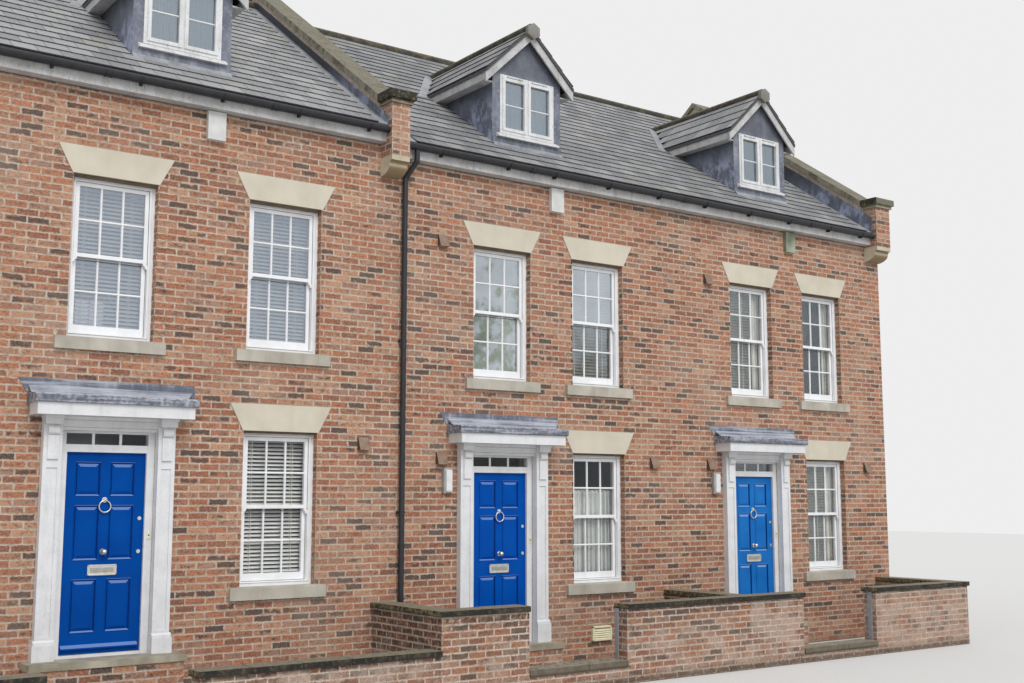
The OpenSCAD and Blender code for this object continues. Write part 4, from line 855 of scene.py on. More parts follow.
def pierFaces():
    blocks = []
    out = row.pierOut
    reach = (row.kneelerZ + row.kneelerH, row.capZ)
    for x0, x1 in piers:
        blocks += bond(x0, -out, ways.right, x1 - x0, *reach)
        blocks += bond(x1, row.depth + out, ways.left, x1 - x0, *reach)
        for y0 in (-out, row.depth):
            blocks += bond(x0, y0 + out, ways.street, out, *reach, (), bricks.cornerShift)
            if x1 < row.rightX:
                blocks += bond(x1, y0, ways.back, out, *reach, (), bricks.cornerShift)
    return blocks


def gableFace():
    out = row.pierOut
    low = row.kneelerZ + row.kneelerH
    length = row.depth + 2 * out
    top = row.parapetZ + math.tan(row.pitch) * row.depth / 2
    holes = [(-1, out, 0, low), (length - out, length + 1, 0, low), (-1, out, row.capZ, 12),
             (length - out, length + 1, row.capZ, 12)]

    def underCoping(z):   # how far in the coping starts at a height
        return out + max((z - 0.06 - row.parapetZ) / math.tan(row.pitch), -1.0)

    slopes = [lambda z: (-1, underCoping(z), z - 0.05, z + 0.05),
              lambda z: (length - underCoping(z), length + 1, z - 0.05, z + 0.05)]
    lower = bond(row.rightX, -out, ways.back, length, 0, row.capZ, holes)
    return lower + bond(row.rightX, -out, ways.back, length, row.capZ, top, holes + slopes)


def revealFaces():   # the brick returns beside the windows
    blocks = []
    half = row.windowW / 2
    for x, top in windows:
        rules = (row.reveal, top - row.windowH, top, (), bricks.revealShift)
        for y0, y1 in bothFronts(0, row.reveal):
            blocks += bond(x - half, y0, ways.back, *rules)
            blocks += bond(x + half, y1, ways.street, *rules)
    return blocks


print("laying the bricks")
brickRules = {"proud": bricks.jitter, "tilt": bricks.tilt}
layBlocks("front_bricks", streetFace(False), "brick", "brick", seed=3, **brickRules)
layBlocks("rear_bricks", streetFace(True), "brick", "brick", seed=5, **brickRules)
layBlocks("gable_bricks", gableFace(), "brick", "brick", seed=8, **brickRules)
layBlocks("pier_bricks", pierFaces(), "brick", "brick", seed=13, **brickRules)
layBlocks("reveal_bricks", revealFaces(), "brick", "brick", seed=17)

# Garden walls along the street (left, right, top of the copings), then back to the houses (left, top)
garden = Sizes(depth=1.5, thick=0.215, coping=0.062, over=0.03, stone=0.58, gap=0.012)
gateways = [(houses[0].door - 0.967, 1.43), (houses[1].door - 0.688, 1.465), (houses[2].door - 0.738, 1.54)]
gateEnds = [left + width for left, width in gateways]
returnWalls = [(-0.22, 0.98), (4.435, 0.925), (9.062, 0.925)]
streetWalls = [
    (row.leftX, gateways[0][0], 0.65), (gateEnds[0], returnWalls[0][0], 0.57),
    (returnWalls[0][0], gateways[1][0], 0.98), (gateEnds[1], gateways[2][0], 0.925),
    (gateEnds[2], returnWalls[2][0] + garden.thick, 0.925)]
copingOvers = [(0, 1), (1, 0), (1, 0.3), (0, 1), (1, 1)]
flags = Sizes(thick=0.078, over=0.02, cover=0.007, back=-1.219, gap=0.007, shares=(0.58, 0.42),
              tops=(0.33, 0.265, 0.185))
stepBase = Sizes(inset=0.02, out=0.32, stone=0.065)


def gardenFaces():
    blocks = []
    thick = garden.thick
    front = -garden.depth
    back = front + thick
    for x0, x1, top in streetWalls:
        reach = (0, top - garden.coping)
        gaps = [(x1 - x - thick, x1 - x, 0, h) for x, h in returnWalls if x0 <= x <= x1]
        blocks += bond(x0, front, ways.right, x1 - x0, *reach)
        blocks += bond(x1, back, ways.left, x1 - x0, *reach, gaps)
        if x0 > row.leftX:
            blocks += bond(x0, back, ways.street, thick, *reach, (), bricks.cornerShift)
        blocks += bond(x1, front, ways.back, thick, *reach, (), bricks.cornerShift)
    for x, top in returnWalls:
        blocks += bond(x, 0, ways.street, -back, 0, top - garden.coping)
        blocks += bond(x + thick, back, ways.back, -back, 0, top - garden.coping)
    for (left, width), top in zip(gateways, flags.tops):
        blocks += bond(left, front, ways.right, width, 0, top - flags.thick)
    return blocks


def flagStones():   # two stones to a gateway, standing out over the brickwork
    blocks = []
    front = -garden.depth - flags.over
    depth = flags.back - front
    for (left, width), top in zip(gateways, flags.tops):
        for share in flags.shares:
            middle = at(left + width * share / 2, front + depth / 2, top + flags.cover - flags.thick / 2)
            blocks.append((middle, (width * share - flags.gap, depth, flags.thick), upright))
            left += width * share
    return blocks


def stepFaces():
    blocks = []
    for house in houses:
        half = house.stepHalf - stepBase.inset
        reach = (0, house.step - stepBase.stone)
        blocks += bond(house.door - half, -stepBase.out, ways.right, 2 * half, *reach)
        blocks += bond(house.door - half, 0, ways.street, stepBase.out, *reach, (), bricks.cornerShift)
        blocks += bond(house.door + half, -stepBase.out, ways.back, stepBase.out, *reach, (), bricks.cornerShift)
    return blocks


def gardenStones():
    blocks = []

    def run(start, end, top, wall=None):   # along the street, or back to the houses on a wall at x
        count = max(1, round((end - start) / garden.stone))
        step = (end - start) / count
        for index in range(count):
            spot = start + (index + 0.5) * step
            z = top - garden.coping / 2
            size = (step - garden.gap, garden.thick + 2 * garden.over, garden.coping)
            if wall is None:
                blocks.append((at(spot, -garden.depth + garden.thick / 2, z), size, upright))
            else:
                blocks.append((at(wall + garden.thick / 2, spot, z), size, (0, 0, math.pi / 2)))

    for (x0, x1, top), (left, right) in zip(streetWalls, copingOvers):
        run(x0 - left * garden.over, x1 + right * garden.over, top)
    for x, top in returnWalls:
        run(-garden.depth + garden.thick + garden.over, 0, top, x)
    return blocks


layBlocks("garden_bricks", gardenFaces(), "gardenBrick", "brick", seed=21, **brickRules)
layBlocks("step_bricks", stepFaces(), "brick", "brick", seed=22, **brickRules)
stones = layBlocks("garden_coping_stones", gardenStones(), "gardenCoping", "coping_stone",
                   proud=0.002, tilt=0.011, seed=23)
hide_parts("garden_copings")
layBlocks("gateway_flagstones", flagStones(), "flag", "step_stone", proud=0.002, tilt=0.006, seed=24)

# Slates in courses on both slopes and on the dormers
slates = Sizes(width=0.25, gauge=0.222, lap=0.05, thick=0.015, gap=0.005, lead=0.15, wallHalf=0.585,
               wallFront=0.37, tilt=0.004, start=0.012, least=0.02, ridgeGap=0.1, shortest=0.08)
dormer = Sizes(ridgeZ=8.645, pitch=math.radians(44), half=0.75, front=0.26, faceY=0.37, windowZ=7.1,
               cheekIn=0.505, tails=(0.225, 0.5, 0.75, 1.02), firstTail=0.06, lap=0.05, backOver=0.12,
               least=0.03)
strip = Sizes(width=0.13, lift=0.024, thick=0.005, steps=6, under=0.02, foot=0.12)


def dormerReach(y):   # half the width that a dormer covers on the main slope
    if y < slates.wallFront - 0.02:
        return 0.0
    return min(slates.wallHalf, max(0.0, (dormer.ridgeZ - slateAt(y)) / math.tan(dormer.pitch)))


def slopeSlates(x0, x1, group, rear):
    blocks = []
    slopeLength = (row.depth / 2 + row.eavesOut) / math.cos(row.pitch)
    lean = slates.thick / (slates.gauge + slates.lap)
    turn = (row.pitch - lean, 0, math.pi if rear else 0)
    for course in range(int(slopeLength / slates.gauge) + 1):
        low = course * slates.gauge - slates.start
        reach = min(slates.gauge + slates.lap, slopeLength - slates.ridgeGap - low)
        if reach < slates.shortest:
            continue
        y = -row.eavesOut + (low + reach / 2) * math.cos(row.pitch)
        z = slateAt(0) + math.tan(row.pitch) * y + group[0].rise + slates.thick * 0.75
        start = x0 - (course % 2) * slates.width / 2
        half = 0.0 if rear else dormerReach(y)
        while start < x1:
            spans = [(max(start, x0), min(start + slates.width - slates.gap, x1))]
            start += slates.width
            for house in group if half else ():
                left, right = house.mid - half, house.mid + half
                spans = [span for a, b in spans for span in ((a, min(b, left)), (max(a, right), b))]
            for a, b in spans:
                if b - a > slates.least:
                    spot = at((a + b) / 2, row.depth - y if rear else y, z)
                    blocks.append((spot, (b - a, reach, slates.thick), turn))
    return blocks


def dormerSlates():
    blocks = []
    pitch = dormer.pitch
    for house in houses:
        ridge = dormer.ridgeZ + house.rise
        for side in sides:
            before = dormer.firstTail
            for course, tail in enumerate(dormer.tails):
                length = tail - before + (dormer.lap if course else 0.0)
                before = tail
                down = tail - length / 2
                x = house.mid + side * down * math.cos(pitch)
                z = ridge - down * math.sin(pitch) + slates.thick * 0.8
                turn = (0, side * (pitch - slates.thick / length), 0)
                back = (ridge - tail * math.sin(pitch) - row.slateZ - house.rise) / math.tan(row.pitch)
                back += dormer.backOver
                start = dormer.front - (course % 2) * slates.width / 2
                while start < back:
                    y0 = max(start, dormer.front)
                    y1 = min(start + slates.width - slates.gap, back)
                    start += slates.width
                    if y1 - y0 > dormer.least:
                        blocks.append((at(x, (y0 + y1) / 2, z), (length, y1 - y0, slates.thick), turn))
    return blocks


def valleyLead():   # the strips of lead beside a dormer roof, laid on the main slope
    parts = []
    rise = dormer.ridgeZ - row.slateZ
    low = (rise - dormer.half * math.tan(dormer.pitch)) / math.tan(row.pitch) - strip.foot
    high = rise / math.tan(row.pitch) - strip.under
    for house in houses:
        for side in sides:
            corners = []
            for step in range(strip.steps + 1):
                y = low + (high - low) * step / strip.steps
                inner = max(0.0, (dormer.ridgeZ - slateAt(y)) / math.tan(dormer.pitch))
                for x in (inner - strip.under, inner + strip.width):
                    for lift in (strip.lift, strip.lift + strip.thick):
                        corners.append(at(house.mid + side * x, y, slateAt(y) + house.rise + lift))
            last = strip.steps * 4
            faces = [(a + i, a + j, a + k, a + n) for a in range(0, last, 4)
                     for i, j, k, n in ((0, 4, 6, 2), (1, 3, 7, 5), (0, 1, 5, 4), (2, 6, 7, 3))]
            parts.append((corners, faces + [(0, 2, 3, 1), (last, last + 1, last + 3, last + 2)]))
    return parts


print("laying the slates")
fields = [(row.leftX, row.pierLeft - slates.lead, houses[:1]),
          (row.pierRight + slates.lead, row.gablePier - slates.lead, houses[1:])]
frontSlates = [block for field in fields for block in slopeSlates(*field, False)]
rearSlates = [block for field in fields for block in slopeSlates(*field, True)]
layBlocks("front_slates", frontSlates, "slate", "slate", tilt=slates.tilt, seed=31)
layBlocks("rear_slates", rearSlates, "slate", "slate", tilt=slates.tilt, seed=32)
layBlocks("dormer_slates", dormerSlates(), "slate", "slate", tilt=slates.tilt, seed=33)
weld("valley_lead", valleyLead(), "lead")

# Windows: glazing bars, sash horns, vents, and what hangs behind the glass
sash = Sizes(barW=0.026, barDeep=0.032, barX=0.117, paneHalf=0.351, hornY=0.128, hornX=0.397, hornZ=0.8545,
             panes=((0.128, 0.8945, 1.611), (0.17, 0.138, 0.8545)))   # depth, foot and top of the glass
barOutline = [(-0.5, -0.15), (-0.2, -0.5), (0.2, -0.5), (0.5, -0.15), (0.5, 0.15), (0.2, 0.5), (-0.2, 0.5),
              (-0.5, 0.15)]
barShape = [prism(barOutline, -0.5, 0.5, upZ)]
hornShape = [prism([(0, 0), (0.046, 0), (0.046, -0.012), (0.04, -0.026), (0.024, -0.036), (0.018, -0.05),
                    (0.022, -0.06), (0, -0.06)], -0.021, 0.021, alongY)]
dormerBar = Sizes(z=0.4125, low=0.0545, high=0.378, y=0.393, w=0.022, deep=0.026)
transom = Sizes(bar=0.1418, w=0.03, deep=0.024, y=0.059, low=0.199, high=0.084)


def sashBars():
    blocks = []
    for x, top in windows:
        for glassY, z0, z1 in sash.panes:
            z = top - row.windowH + (z0 + z1) / 2
            size = (sash.barW, sash.barDeep, z1 - z0)
            for y in bothSides(glassY):
                for side in sides:
                    blocks.append((at(x + side * sash.barX, y, z), size, upright))
                blocks.append((at(x, y, z), (sash.barW, sash.barDeep * 0.98, 2 * sash.paneHalf), level))
    return blocks


def sashHorns():
    blocks = []
    for x, top in windows:
        for y in bothSides(sash.hornY):
            for side, turn in ((-1, upright), (1, about)):
                blocks.append((at(x + side * sash.hornX, y, top - row.windowH + sash.hornZ), unit, turn))
    return blocks


def smallBars():
    blocks = []
    for house in houses:
        z = dormer.windowZ + dormerBar.z + house.rise
        for side in sides:
            x = house.mid + side * (dormerBar.low + dormerBar.high) / 2
            size = (dormerBar.w, dormerBar.deep, dormerBar.high - dormerBar.low)
            blocks.append((at(x, dormerBar.y, z), size, level))
        z = house.head - (transom.low + transom.high) / 2
        for side in sides:
            size = (transom.w, transom.deep, transom.low - transom.high)
            blocks.append((at(house.door + side * transom.bar, transom.y, z), size, upright))
    return blocks


print("glazing the windows")
layBlocks("glazing_bars", sashBars(), "windowWhite", "white_timber", shape=barShape)
layBlocks("small_glazing_bars", smallBars(), "windowWhite", "white_timber", shape=barShape)
layBlocks("sash_horns", sashHorns(), "windowWhite", "white_timber", shape=hornShape)

# Beads round the frames, dark strips of painted shadow in the joints round the sashes and under the eaves,
# linings inside and plates under the lintels
joinery = Sizes(half=0.455, sashHalf=0.397, gap=0.005, gapDeep=0.002, low=0.05, high=1.657, meet=0.8345,
                front=0.107, sashT=0.042, lineIn=0.205, lineOut=0.3, lineT=0.003, lineOver=0.0005)
plate = Sizes(drop=0.024, front=0.03, play=0.001, edge=0.002)
eaves = Sizes(out=0.006, low=0.012, high=0.004, edge=0.001)
beadOutline = [(0.034, 0.001), (0.034, -0.004), (0.038, -0.009), (0.044, -0.009), (0.048, -0.004),
               (0.048, 0.001)]
beads = []
gaps = []
linings = []
plates = []
for x, top in windows:
    base = top - row.windowH
    left, right = x - joinery.half, x + joinery.half
    for face, y in zip((1, -1), bothSides(row.reveal)):
        beads.append(rim(at(left, y, base), at(right, y, top), beadOutline, face))
    # dark strips of painted shadow in the joints round the sashes
    for upperY, lowerY in zip(bothSides(joinery.front), bothSides(joinery.front + joinery.sashT)):
        for side in sides:
            edge = x + side * (joinery.sashHalf - joinery.gap / 2)
            for y, z0, z1 in ((upperY, joinery.meet, joinery.high), (lowerY, joinery.low, joinery.meet)):
                size = (joinery.gap, joinery.gapDeep, z1 - z0)
                gaps.append((at(edge, y, base + (z0 + z1) / 2), size, upright))
        for y, z in ((upperY, joinery.high - joinery.gap / 2), (lowerY, joinery.meet - joinery.gap),
                     (lowerY, joinery.low + joinery.gap / 2)):
            gaps.append((at(x, y, base + z), (2 * joinery.sashHalf, joinery.gapDeep, joinery.gap), upright))
    for side in sides:
        outer = x + side * (joinery.half + joinery.lineOver)
        inner = outer - side * joinery.lineT
        for y0, y1 in bothFronts(joinery.lineIn, joinery.lineOut):
            linings.append(cuboid(at(min(outer, inner), y0, base), at(max(outer, inner), y1, top)))
    # brown plates under the lintels, dark enough to stand for painted shadow as well
    for y0, y1 in bothFronts(plate.front, row.reveal):
        plates.append(slab(left + plate.play, right - plate.play, y0, y1, top - plate.drop, top, plate.edge))
# dark strips of painted shadow below the fascia boards
joints = []
for x0, x1, house in ((row.leftX, row.pierLeft, houses[0]), (row.pierRight, row.gablePier, houses[1])):
    z = row.fasciaZ + house.rise
    for y0, y1 in bothFronts(-eaves.out, 0.0):
        joints.append(slab(x0, x1, y0, y1, z - eaves.low, z + eaves.high, eaves.edge))
weld("lintel_plates", plates, "plateBrownAndShade")
weld("eaves_joints", joints, "gap")
weld("frame_beads", beads, "windowWhite")
layBlocks("sash_joints", gaps, "gap", "white_timber")
weld("window_linings", linings, "white")

trickle = Sizes(w=0.27, h=0.018, back=0.012, front=0.005, x=0.21, z=0.79, edge=0.002)
covers = []
slots = []
for house in houses:
    for side in sides:
        x = house.mid + side * trickle.x
        z = dormer.windowZ + house.rise + trickle.z
        low = at(x - trickle.w / 2, dormer.faceY - trickle.back, z)
        high = at(x + trickle.w / 2, dormer.faceY + trickle.front, z + trickle.h)
        # a dark slot of painted shadow round each vent cover
        slots.append(ease(low, high, trickle.edge))
        low += Vector((0.01, -0.006, 0.005))
        high -= Vector((0.01, 0.004, 0.005))
        covers.append(ease(low, high, trickle.edge))
weld("trickle_vents", slots, "gap")
weld("trickle_covers", covers, "dormerWhite")

# Slatted blinds, pale in the left house and dark in the others
blind = Sizes(y=0.243, slatW=0.05, slatT=0.0025, pitch=0.044, half=0.44, margin=0.07, edge=0.004,
              headHalf=0.456, headOver=0.016, headDeep=0.028, headLow=0.045, headHigh=0.001,
              footDeep=0.025, footLow=0.012, footHigh=0.03,
              tapeX=0.25, tapeIn=0.19, tapeW=0.008, tapeT=0.001, tapeYs=(-0.027, 0.026), tapeLow=0.02,
              tapeHigh=0.04)
slatShape = [prism([(-0.5, -0.5), (0.0, 0.3), (0.5, -0.5), (0.5, 0.2), (0.0, 1.0), (-0.5, 0.2)],
                   -0.5, 0.5, alongX)]
blindWindows = [   # house, number of its window, tilt of the slats, right end
    (0, 0, 40, 0.44), (0, 1, 40, 0.44), (0, 2, 34, 0.44),
    (1, 1, 48, 0.44), (2, 0, 52, 0.215), (2, 2, 52, 0.215)]
slats = ([], [])
rails = ([], [])
tapes = []
for number, spot, tilt, end in blindWindows:
    x, top = houses[number].windows[spot]
    base = top - row.windowH
    dark = int(number > 0)
    y = blind.y
    z = base + blind.margin
    while z < top - blind.margin:
        slats[dark].append((at(x + (end - blind.half) / 2, y, z),
                            (end + blind.half, blind.slatW, blind.slatT), (math.radians(tilt), 0, 0)))
        z += blind.pitch
    rails[dark].append(slab(x - blind.headHalf, x + end + blind.headOver, y - blind.headDeep,
                            y + blind.headDeep, top - blind.headLow, top + blind.headHigh, blind.edge))
    rails[dark].append(slab(x - blind.half, x + end, y - blind.footDeep, y + blind.footDeep,
                            base + blind.footLow, base + blind.footHigh, blind.edge))
    for tapeX in (x - blind.tapeX, x + (end - blind.tapeIn)):
        for tapeY in blind.tapeYs:
            tapes.append(cuboid(at(tapeX - blind.tapeW / 2, y + tapeY, base + blind.tapeLow),
                                at(tapeX + blind.tapeW / 2, y + tapeY + blind.tapeT, top - blind.tapeHigh)))
layBlocks("blind_slats", slats[0], "blind", "box_plastic", shape=slatShape, seed=41, tilt=0.006)
layBlocks("dark_blind_slats", slats[1], "darkSlat", "box_plastic", shape=slatShape, seed=43, tilt=0.01)
weld("blind_rails", rails[0], "blind")
weld("dark_blind_rails", rails[1], "darkSlat")
weld("blind_tapes", tapes, "cloth")

curtainLook = Sizes(deep=0.021, thick=0.0014, fold=0.075, rodR=0.008, rows=7, half=0.455, play=0.003, y=0.235,
                    foot=0.03, under=0.01, over=0.005, dormerY=0.49, dormerHalf=0.44, dormerTop=0.84)
curtains = [   # name, house, number of its window, left and right end, rod below the head, finish
    ("b_ground", 1, 2, -0.445, 0.445, 0.49, "net"), ("b_upper_left", 1, 0, 0.2, 0.45, 0.05, "net"),
    ("c_ground_r", 2, 2, 0.24, 0.45, 0.05, "cloth"), ("c_upper_left_r", 2, 0, 0.24, 0.45, 0.05, "cloth"),
    ("c_upper_right_l", 2, 1, -0.45, -0.29, 0.05, "cloth"),
    ("c_upper_right_r", 2, 1, 0.24, 0.45, 0.05, "cloth")]


def hangRod(name, x, half, y, z):
    reach = half + curtainLook.play
    bar = tube([at(x - reach, y, z), at(x + reach, y, z)], curtainLook.rodR)
    return weld("rod_" + name, [bar], "brass")


def hangCloth(name, x0, x1, z0, z1, y, finish, phase):   # gathered cloth in soft upright folds
    folds = max(2, round((x1 - x0) / curtainLook.fold))
    count = folds * 10 + 1
    top = []
    for step in range(count):
        share = step / (count - 1)
        angle = share * folds * 2 * math.pi + 0.8 * math.sin(share * 7 + phase)
        swell = 0.75 + 0.25 * math.sin(share * 17 + phase * 2)
        top.append((x0 + (x1 - x0) * share, math.sin(angle + phase) * swell))
    corners = []
    lengths = []
    for index in range(curtainLook.rows + 1):
        share = index / curtainLook.rows
        z = z1 + (z0 - z1) * share
        line = [(x, y + wave * curtainLook.deep * (0.8 + 0.3 * share)) for x, wave in top]
        lengths.append(sum(math.dist(line[i], line[i + 1]) for i in range(count - 1)))
        for side in (-0.5, 0.5):
            for i, (x, deep) in enumerate(line):
                a = line[max(i - 1, 0)]
                b = line[min(i + 1, count - 1)]
                run = math.dist(a, b)
                corners.append(at(x - (b[1] - a[1]) / run * side * curtainLook.thick,
                                  deep + (b[0] - a[0]) / run * side * curtainLook.thick, z))
    faces = []
    for index in range(curtainLook.rows):
        a = index * 2 * count
        b = a + 2 * count
        for i in range(count - 1):
            faces.append((a + i, a + i + 1, b + i + 1, b + i))
            faces.append((a + count + i, b + count + i, b + count + i + 1, a + count + i + 1))
        faces.append((a, b, b + count, a + count))
        faces.append((a + count - 1, a + 2 * count - 1, b + 2 * count - 1, b + count - 1))
    last = curtainLook.rows * 2 * count
    for i in range(count - 1):
        faces.append((i, i + count, i + count + 1, i + 1))
        faces.append((last + i, last + i + 1, last + i + count + 1, last + i + count))
    piece = weld("curtain_" + name, [(corners, faces)], finish)
    for face in piece.data.polygons:
        face.use_smooth = True
    return piece, sum(a + b for a, b in zip(lengths, lengths[1:])) / 2 / curtainLook.rows


rods = {}
for number, (name, home, spot, x0, x1, drop, finish) in enumerate(curtains):
    x, top = houses[home].windows[spot]
    key = name.removesuffix("_l").removesuffix("_r")
    if key not in rods:
        rods[key] = hangRod(key, x, curtainLook.half, curtainLook.y, top - drop)
    z0 = top - row.windowH + curtainLook.foot
    z1 = top - drop - curtainLook.under + curtainLook.over
    piece, wide = hangCloth(name, x + x0, x + x1, z0, z1, curtainLook.y, finish, 0.7 * number)
for number, house in enumerate(houses):
    half = curtainLook.dormerHalf
    z0 = dormer.windowZ + house.rise + curtainLook.foot
    z1 = dormer.windowZ + house.rise + curtainLook.dormerTop
    name = "dormer_" + house.name
    rod = hangRod(name, house.mid, dormer.cheekIn, curtainLook.dormerY, z1)
    piece, wide = hangCloth(name, house.mid - half, house.mid + half, z0, z1, curtainLook.dormerY, "cloth",
                            1.3 * number + 0.4)

# Lead laid over the canopies: a sheet turned out from the wall, with a soft rolled edge
flashing = Sizes(left=0.832, right=0.895, cut=0.8)
flashOutline = [(0.0, 0.385), (-0.014, 0.382), (-0.05, 0.36), (-0.088, 0.337), (-0.09, 0.329), (-0.13, 0.311),
                (-0.142, 0.306), (-0.146, 0.3), (-0.142, 0.293), (-0.134, 0.295), (-0.134, 0.3), (-0.08, 0.322),
                (-0.026, 0.352), (0.0, 0.364)]
for house in houses:
    middle = house.door + originX

    def cutBack(a, b, c):   # its right end runs back towards the wall
        return Vector((c + (flashing.cut * (a - originY) if c > middle else 0.0), a, b))

    outline = [(y + originY, z + house.head) for y, z in flashOutline]
    cover = prism(outline, middle - flashing.left, middle + flashing.right, cutBack)
    weld("canopy_flashing_" + house.name, [cover], "lead")

# Rear doors, each number counted from the door's middle, its face and its foot or head
rearDoor = Sizes(bar=0.022, half=0.455, stile=0.06, panelHalf=0.135, panelX=0.19, line=0.391, lineHalf=0.004,
                 lineH=0.008, headH=0.06, rows=((0.16, 0.78), (1.0, 1.0)), paneIn=0.01,
                 frameYs=(-0.01, 0.022), barYs=(-0.004, 0.008), paneYs=(-0.004, 0.003), gapYs=(-0.004, 0.002),
                 boardYs=(-0.004, 0.03), boardZs=(0.02, 0.075), handleX=0.35, handleZ=1.06, lever=0.1)
rearParts = []
rearMetal = []
rearPanes = []
rearGaps = []
for house in houses:
    face = row.depth - row.reveal
    step = house.step
    under = house.head - rearDoor.headH

    def fit(parts, x0, x1, ys, z0, z1, edge):   # a slab on the face of the door
        parts.append(slab(x0, x1, face + ys[0], face + ys[1], z0, z1, edge))

    for side in sides:
        half = rearDoor.stile / 2
        x = house.door + side * (rearDoor.half - half)
        fit(rearParts, x - half, x + half, rearDoor.frameYs, step, house.head, 0.004)
        mid = house.door + side * rearDoor.panelX
        for low, tall in rearDoor.rows:
            low += step
            left, right = mid - rearDoor.panelHalf, mid + rearDoor.panelHalf
            half = rearDoor.bar / 2
            for z in (low, low + tall - rearDoor.bar):
                fit(rearParts, left, right, rearDoor.barYs, z, z + rearDoor.bar, 0.004)
            for x in (left, right):
                fit(rearParts, x - half, x + half, rearDoor.barYs, low, low + tall, 0.004)
    reach = rearDoor.half - 0.05
    fit(rearParts, house.door - reach, house.door + reach, rearDoor.frameYs, under, house.head, 0.004)
    x = house.door + rearDoor.handleX
    z = step + rearDoor.handleZ
    fit(rearMetal, x - 0.015, x + 0.015, (-0.002, 0.008), z - 0.1, z + 0.06, 0.003)
    path = [at(x, face, z), at(x, face + 0.045, z), at(x - rearDoor.lever, face + 0.05, z)]
    rearMetal.append(tube(path, 0.009))
    low, tall = rearDoor.rows[1]
    half = rearDoor.panelHalf - rearDoor.paneIn
    for side in sides:
        mid = house.door + side * rearDoor.panelX
        fit(rearPanes, mid - half, mid + half, rearDoor.paneYs, step + low + rearDoor.paneIn,
            step + low + tall - rearDoor.paneIn, 0.001)
        # dark lines of painted shadow between the leaf and its frame
        line = house.door + side * rearDoor.line
        fit(rearGaps, line - rearDoor.lineHalf, line + rearDoor.lineHalf, rearDoor.gapYs, step, under, 0.001)
    fit(rearGaps, house.door - rearDoor.line, house.door + rearDoor.line, rearDoor.gapYs,
        under - rearDoor.lineH, under, 0.001)
    reach = rearDoor.line - 0.008
    low, high = rearDoor.boardZs
    fit(rearParts, house.door - reach, house.door + reach, rearDoor.boardYs, step + low, step + high, 0.006)
weld("rear_door_mouldings", rearParts, "white")
weld("rear_door_gaps", rearGaps, "gap")
weld("rear_door_panes", rearPanes, "pane")
weld("rear_door_handles", rearMetal, "brass")

# Fittings of the front: gutter brackets, cowls, air vent, wall lights, bell pushes, letter flaps, gate strips
print("fitting the front")
gutter = Sizes(y=-0.1973, z=6.4935, r=0.057, fascia=0.0573)
bracketShape = [
    arcBand(gutter.r + 0.001, gutter.r + 0.007, 180, 360, 14, -0.012, 0.012),
    prism([(gutter.fascia - 0.006, -0.075), (gutter.fascia, -0.075), (gutter.fascia, 0.004),
           (gutter.fascia - 0.006, 0.004)], -0.014, 0.014, alongX),
    prism([(-0.012, -0.062), (gutter.fascia - 0.003, -0.03), (gutter.fascia - 0.003, -0.073),
           (0.02, -0.082), (-0.01, -0.078)], -0.01, 0.01, alongX)]
unionShape = [arcBand(gutter.r, gutter.r + 0.005, 178, 362, 16, -0.04, 0.04),
              arcBand(gutter.r + 0.004, gutter.r + 0.008, 180, 360, 14, -0.036, -0.026),
              arcBand(gutter.r + 0.004, gutter.r + 0.008, 180, 360, 14, 0.026, 0.036)]
bracketX = ((-5.1, -4.17, -3.24, -2.31, -1.38, -0.45),
            (0.58, 1.62, 2.38, 3.33, 4.27, 5.19, 6.12, 7.02, 7.95, 8.75))
unionX = ((-3.6, -1.7), (2.0, 4.75, 7.5))
for name, spots, shape in (("gutter_brackets", bracketX, bracketShape),
                           ("gutter_unions", unionX, unionShape)):
    places = [(at(x, y, gutter.z + house.rise), unit, turn) for house, xs in zip(houses, spots) for x in xs
              for y, turn in zip(bothSides(gutter.y), (upright, about))]
    layBlocks(name, places, "black", "black_plastic", shape=shape)

cowl = Sizes(half=0.07, h=0.15, out=0.075, lip=0.02, wall=0.004)
cowlSide = [(0, 0), (-cowl.out, 0), (-cowl.lip, cowl.h), (0, cowl.h)]
cowlShape = [
    prism([(-cowl.out, 0), (-cowl.out + cowl.wall, 0), (-cowl.lip + cowl.wall, cowl.h), (-cowl.lip, cowl.h)],
          -cowl.half, cowl.half, alongX),
    prism(cowlSide, -cowl.half, cowl.wall - cowl.half, alongX),
    prism(cowlSide, cowl.half - cowl.wall, cowl.half, alongX),
    prism([(0, cowl.h - cowl.wall), (-cowl.lip, cowl.h - cowl.wall), (-cowl.lip, cowl.h), (0, cowl.h)],
          -cowl.half, cowl.half, alongX)]
cowlSpots = [(-0.382, 2.745), (0.708, 2.595), (4.25, 2.595), (0.715, 5.32), (5.358, 2.595), (8.9, 2.595),
             (5.365, 5.32)]
cowls = layBlocks("vent_cowls", [(at(x, 0, z), unit, upright) for x, z in cowlSpots], "vent", "vent_plastic",
                  shape=cowlShape)
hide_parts("wall_vents")

airVent = Sizes(x=3.26, half=0.165, z=0.312, h=0.191, out=0.04, rim=0.026, louvres=5, edge=0.005, foot=0.014,
                first=0.03, backT=0.006, backIn=0.01, louvreY=-0.022)
low = airVent.z
high = airVent.z + airVent.h
left, right = airVent.x - airVent.half, airVent.x + airVent.half
inner = airVent.half - airVent.rim
ventParts = [slab(*box) for box in (
    (left, right, -airVent.out, 0, high - airVent.rim, high, airVent.edge),
    (left, airVent.x - inner, -airVent.out, 0, low, high, airVent.edge),
    (airVent.x + inner, right, -airVent.out, 0, low, high, airVent.edge),
    (left, right, -airVent.out, 0, low, low + airVent.foot, 0.004))]
ventParts.append(cuboid(at(airVent.x - inner, -airVent.backT, low + airVent.backIn),
                        at(airVent.x + inner, 0, high - airVent.backIn)))
weld("air_vent", ventParts, "cream")
louvreStep = (airVent.h - airVent.rim - airVent.first) / airVent.louvres
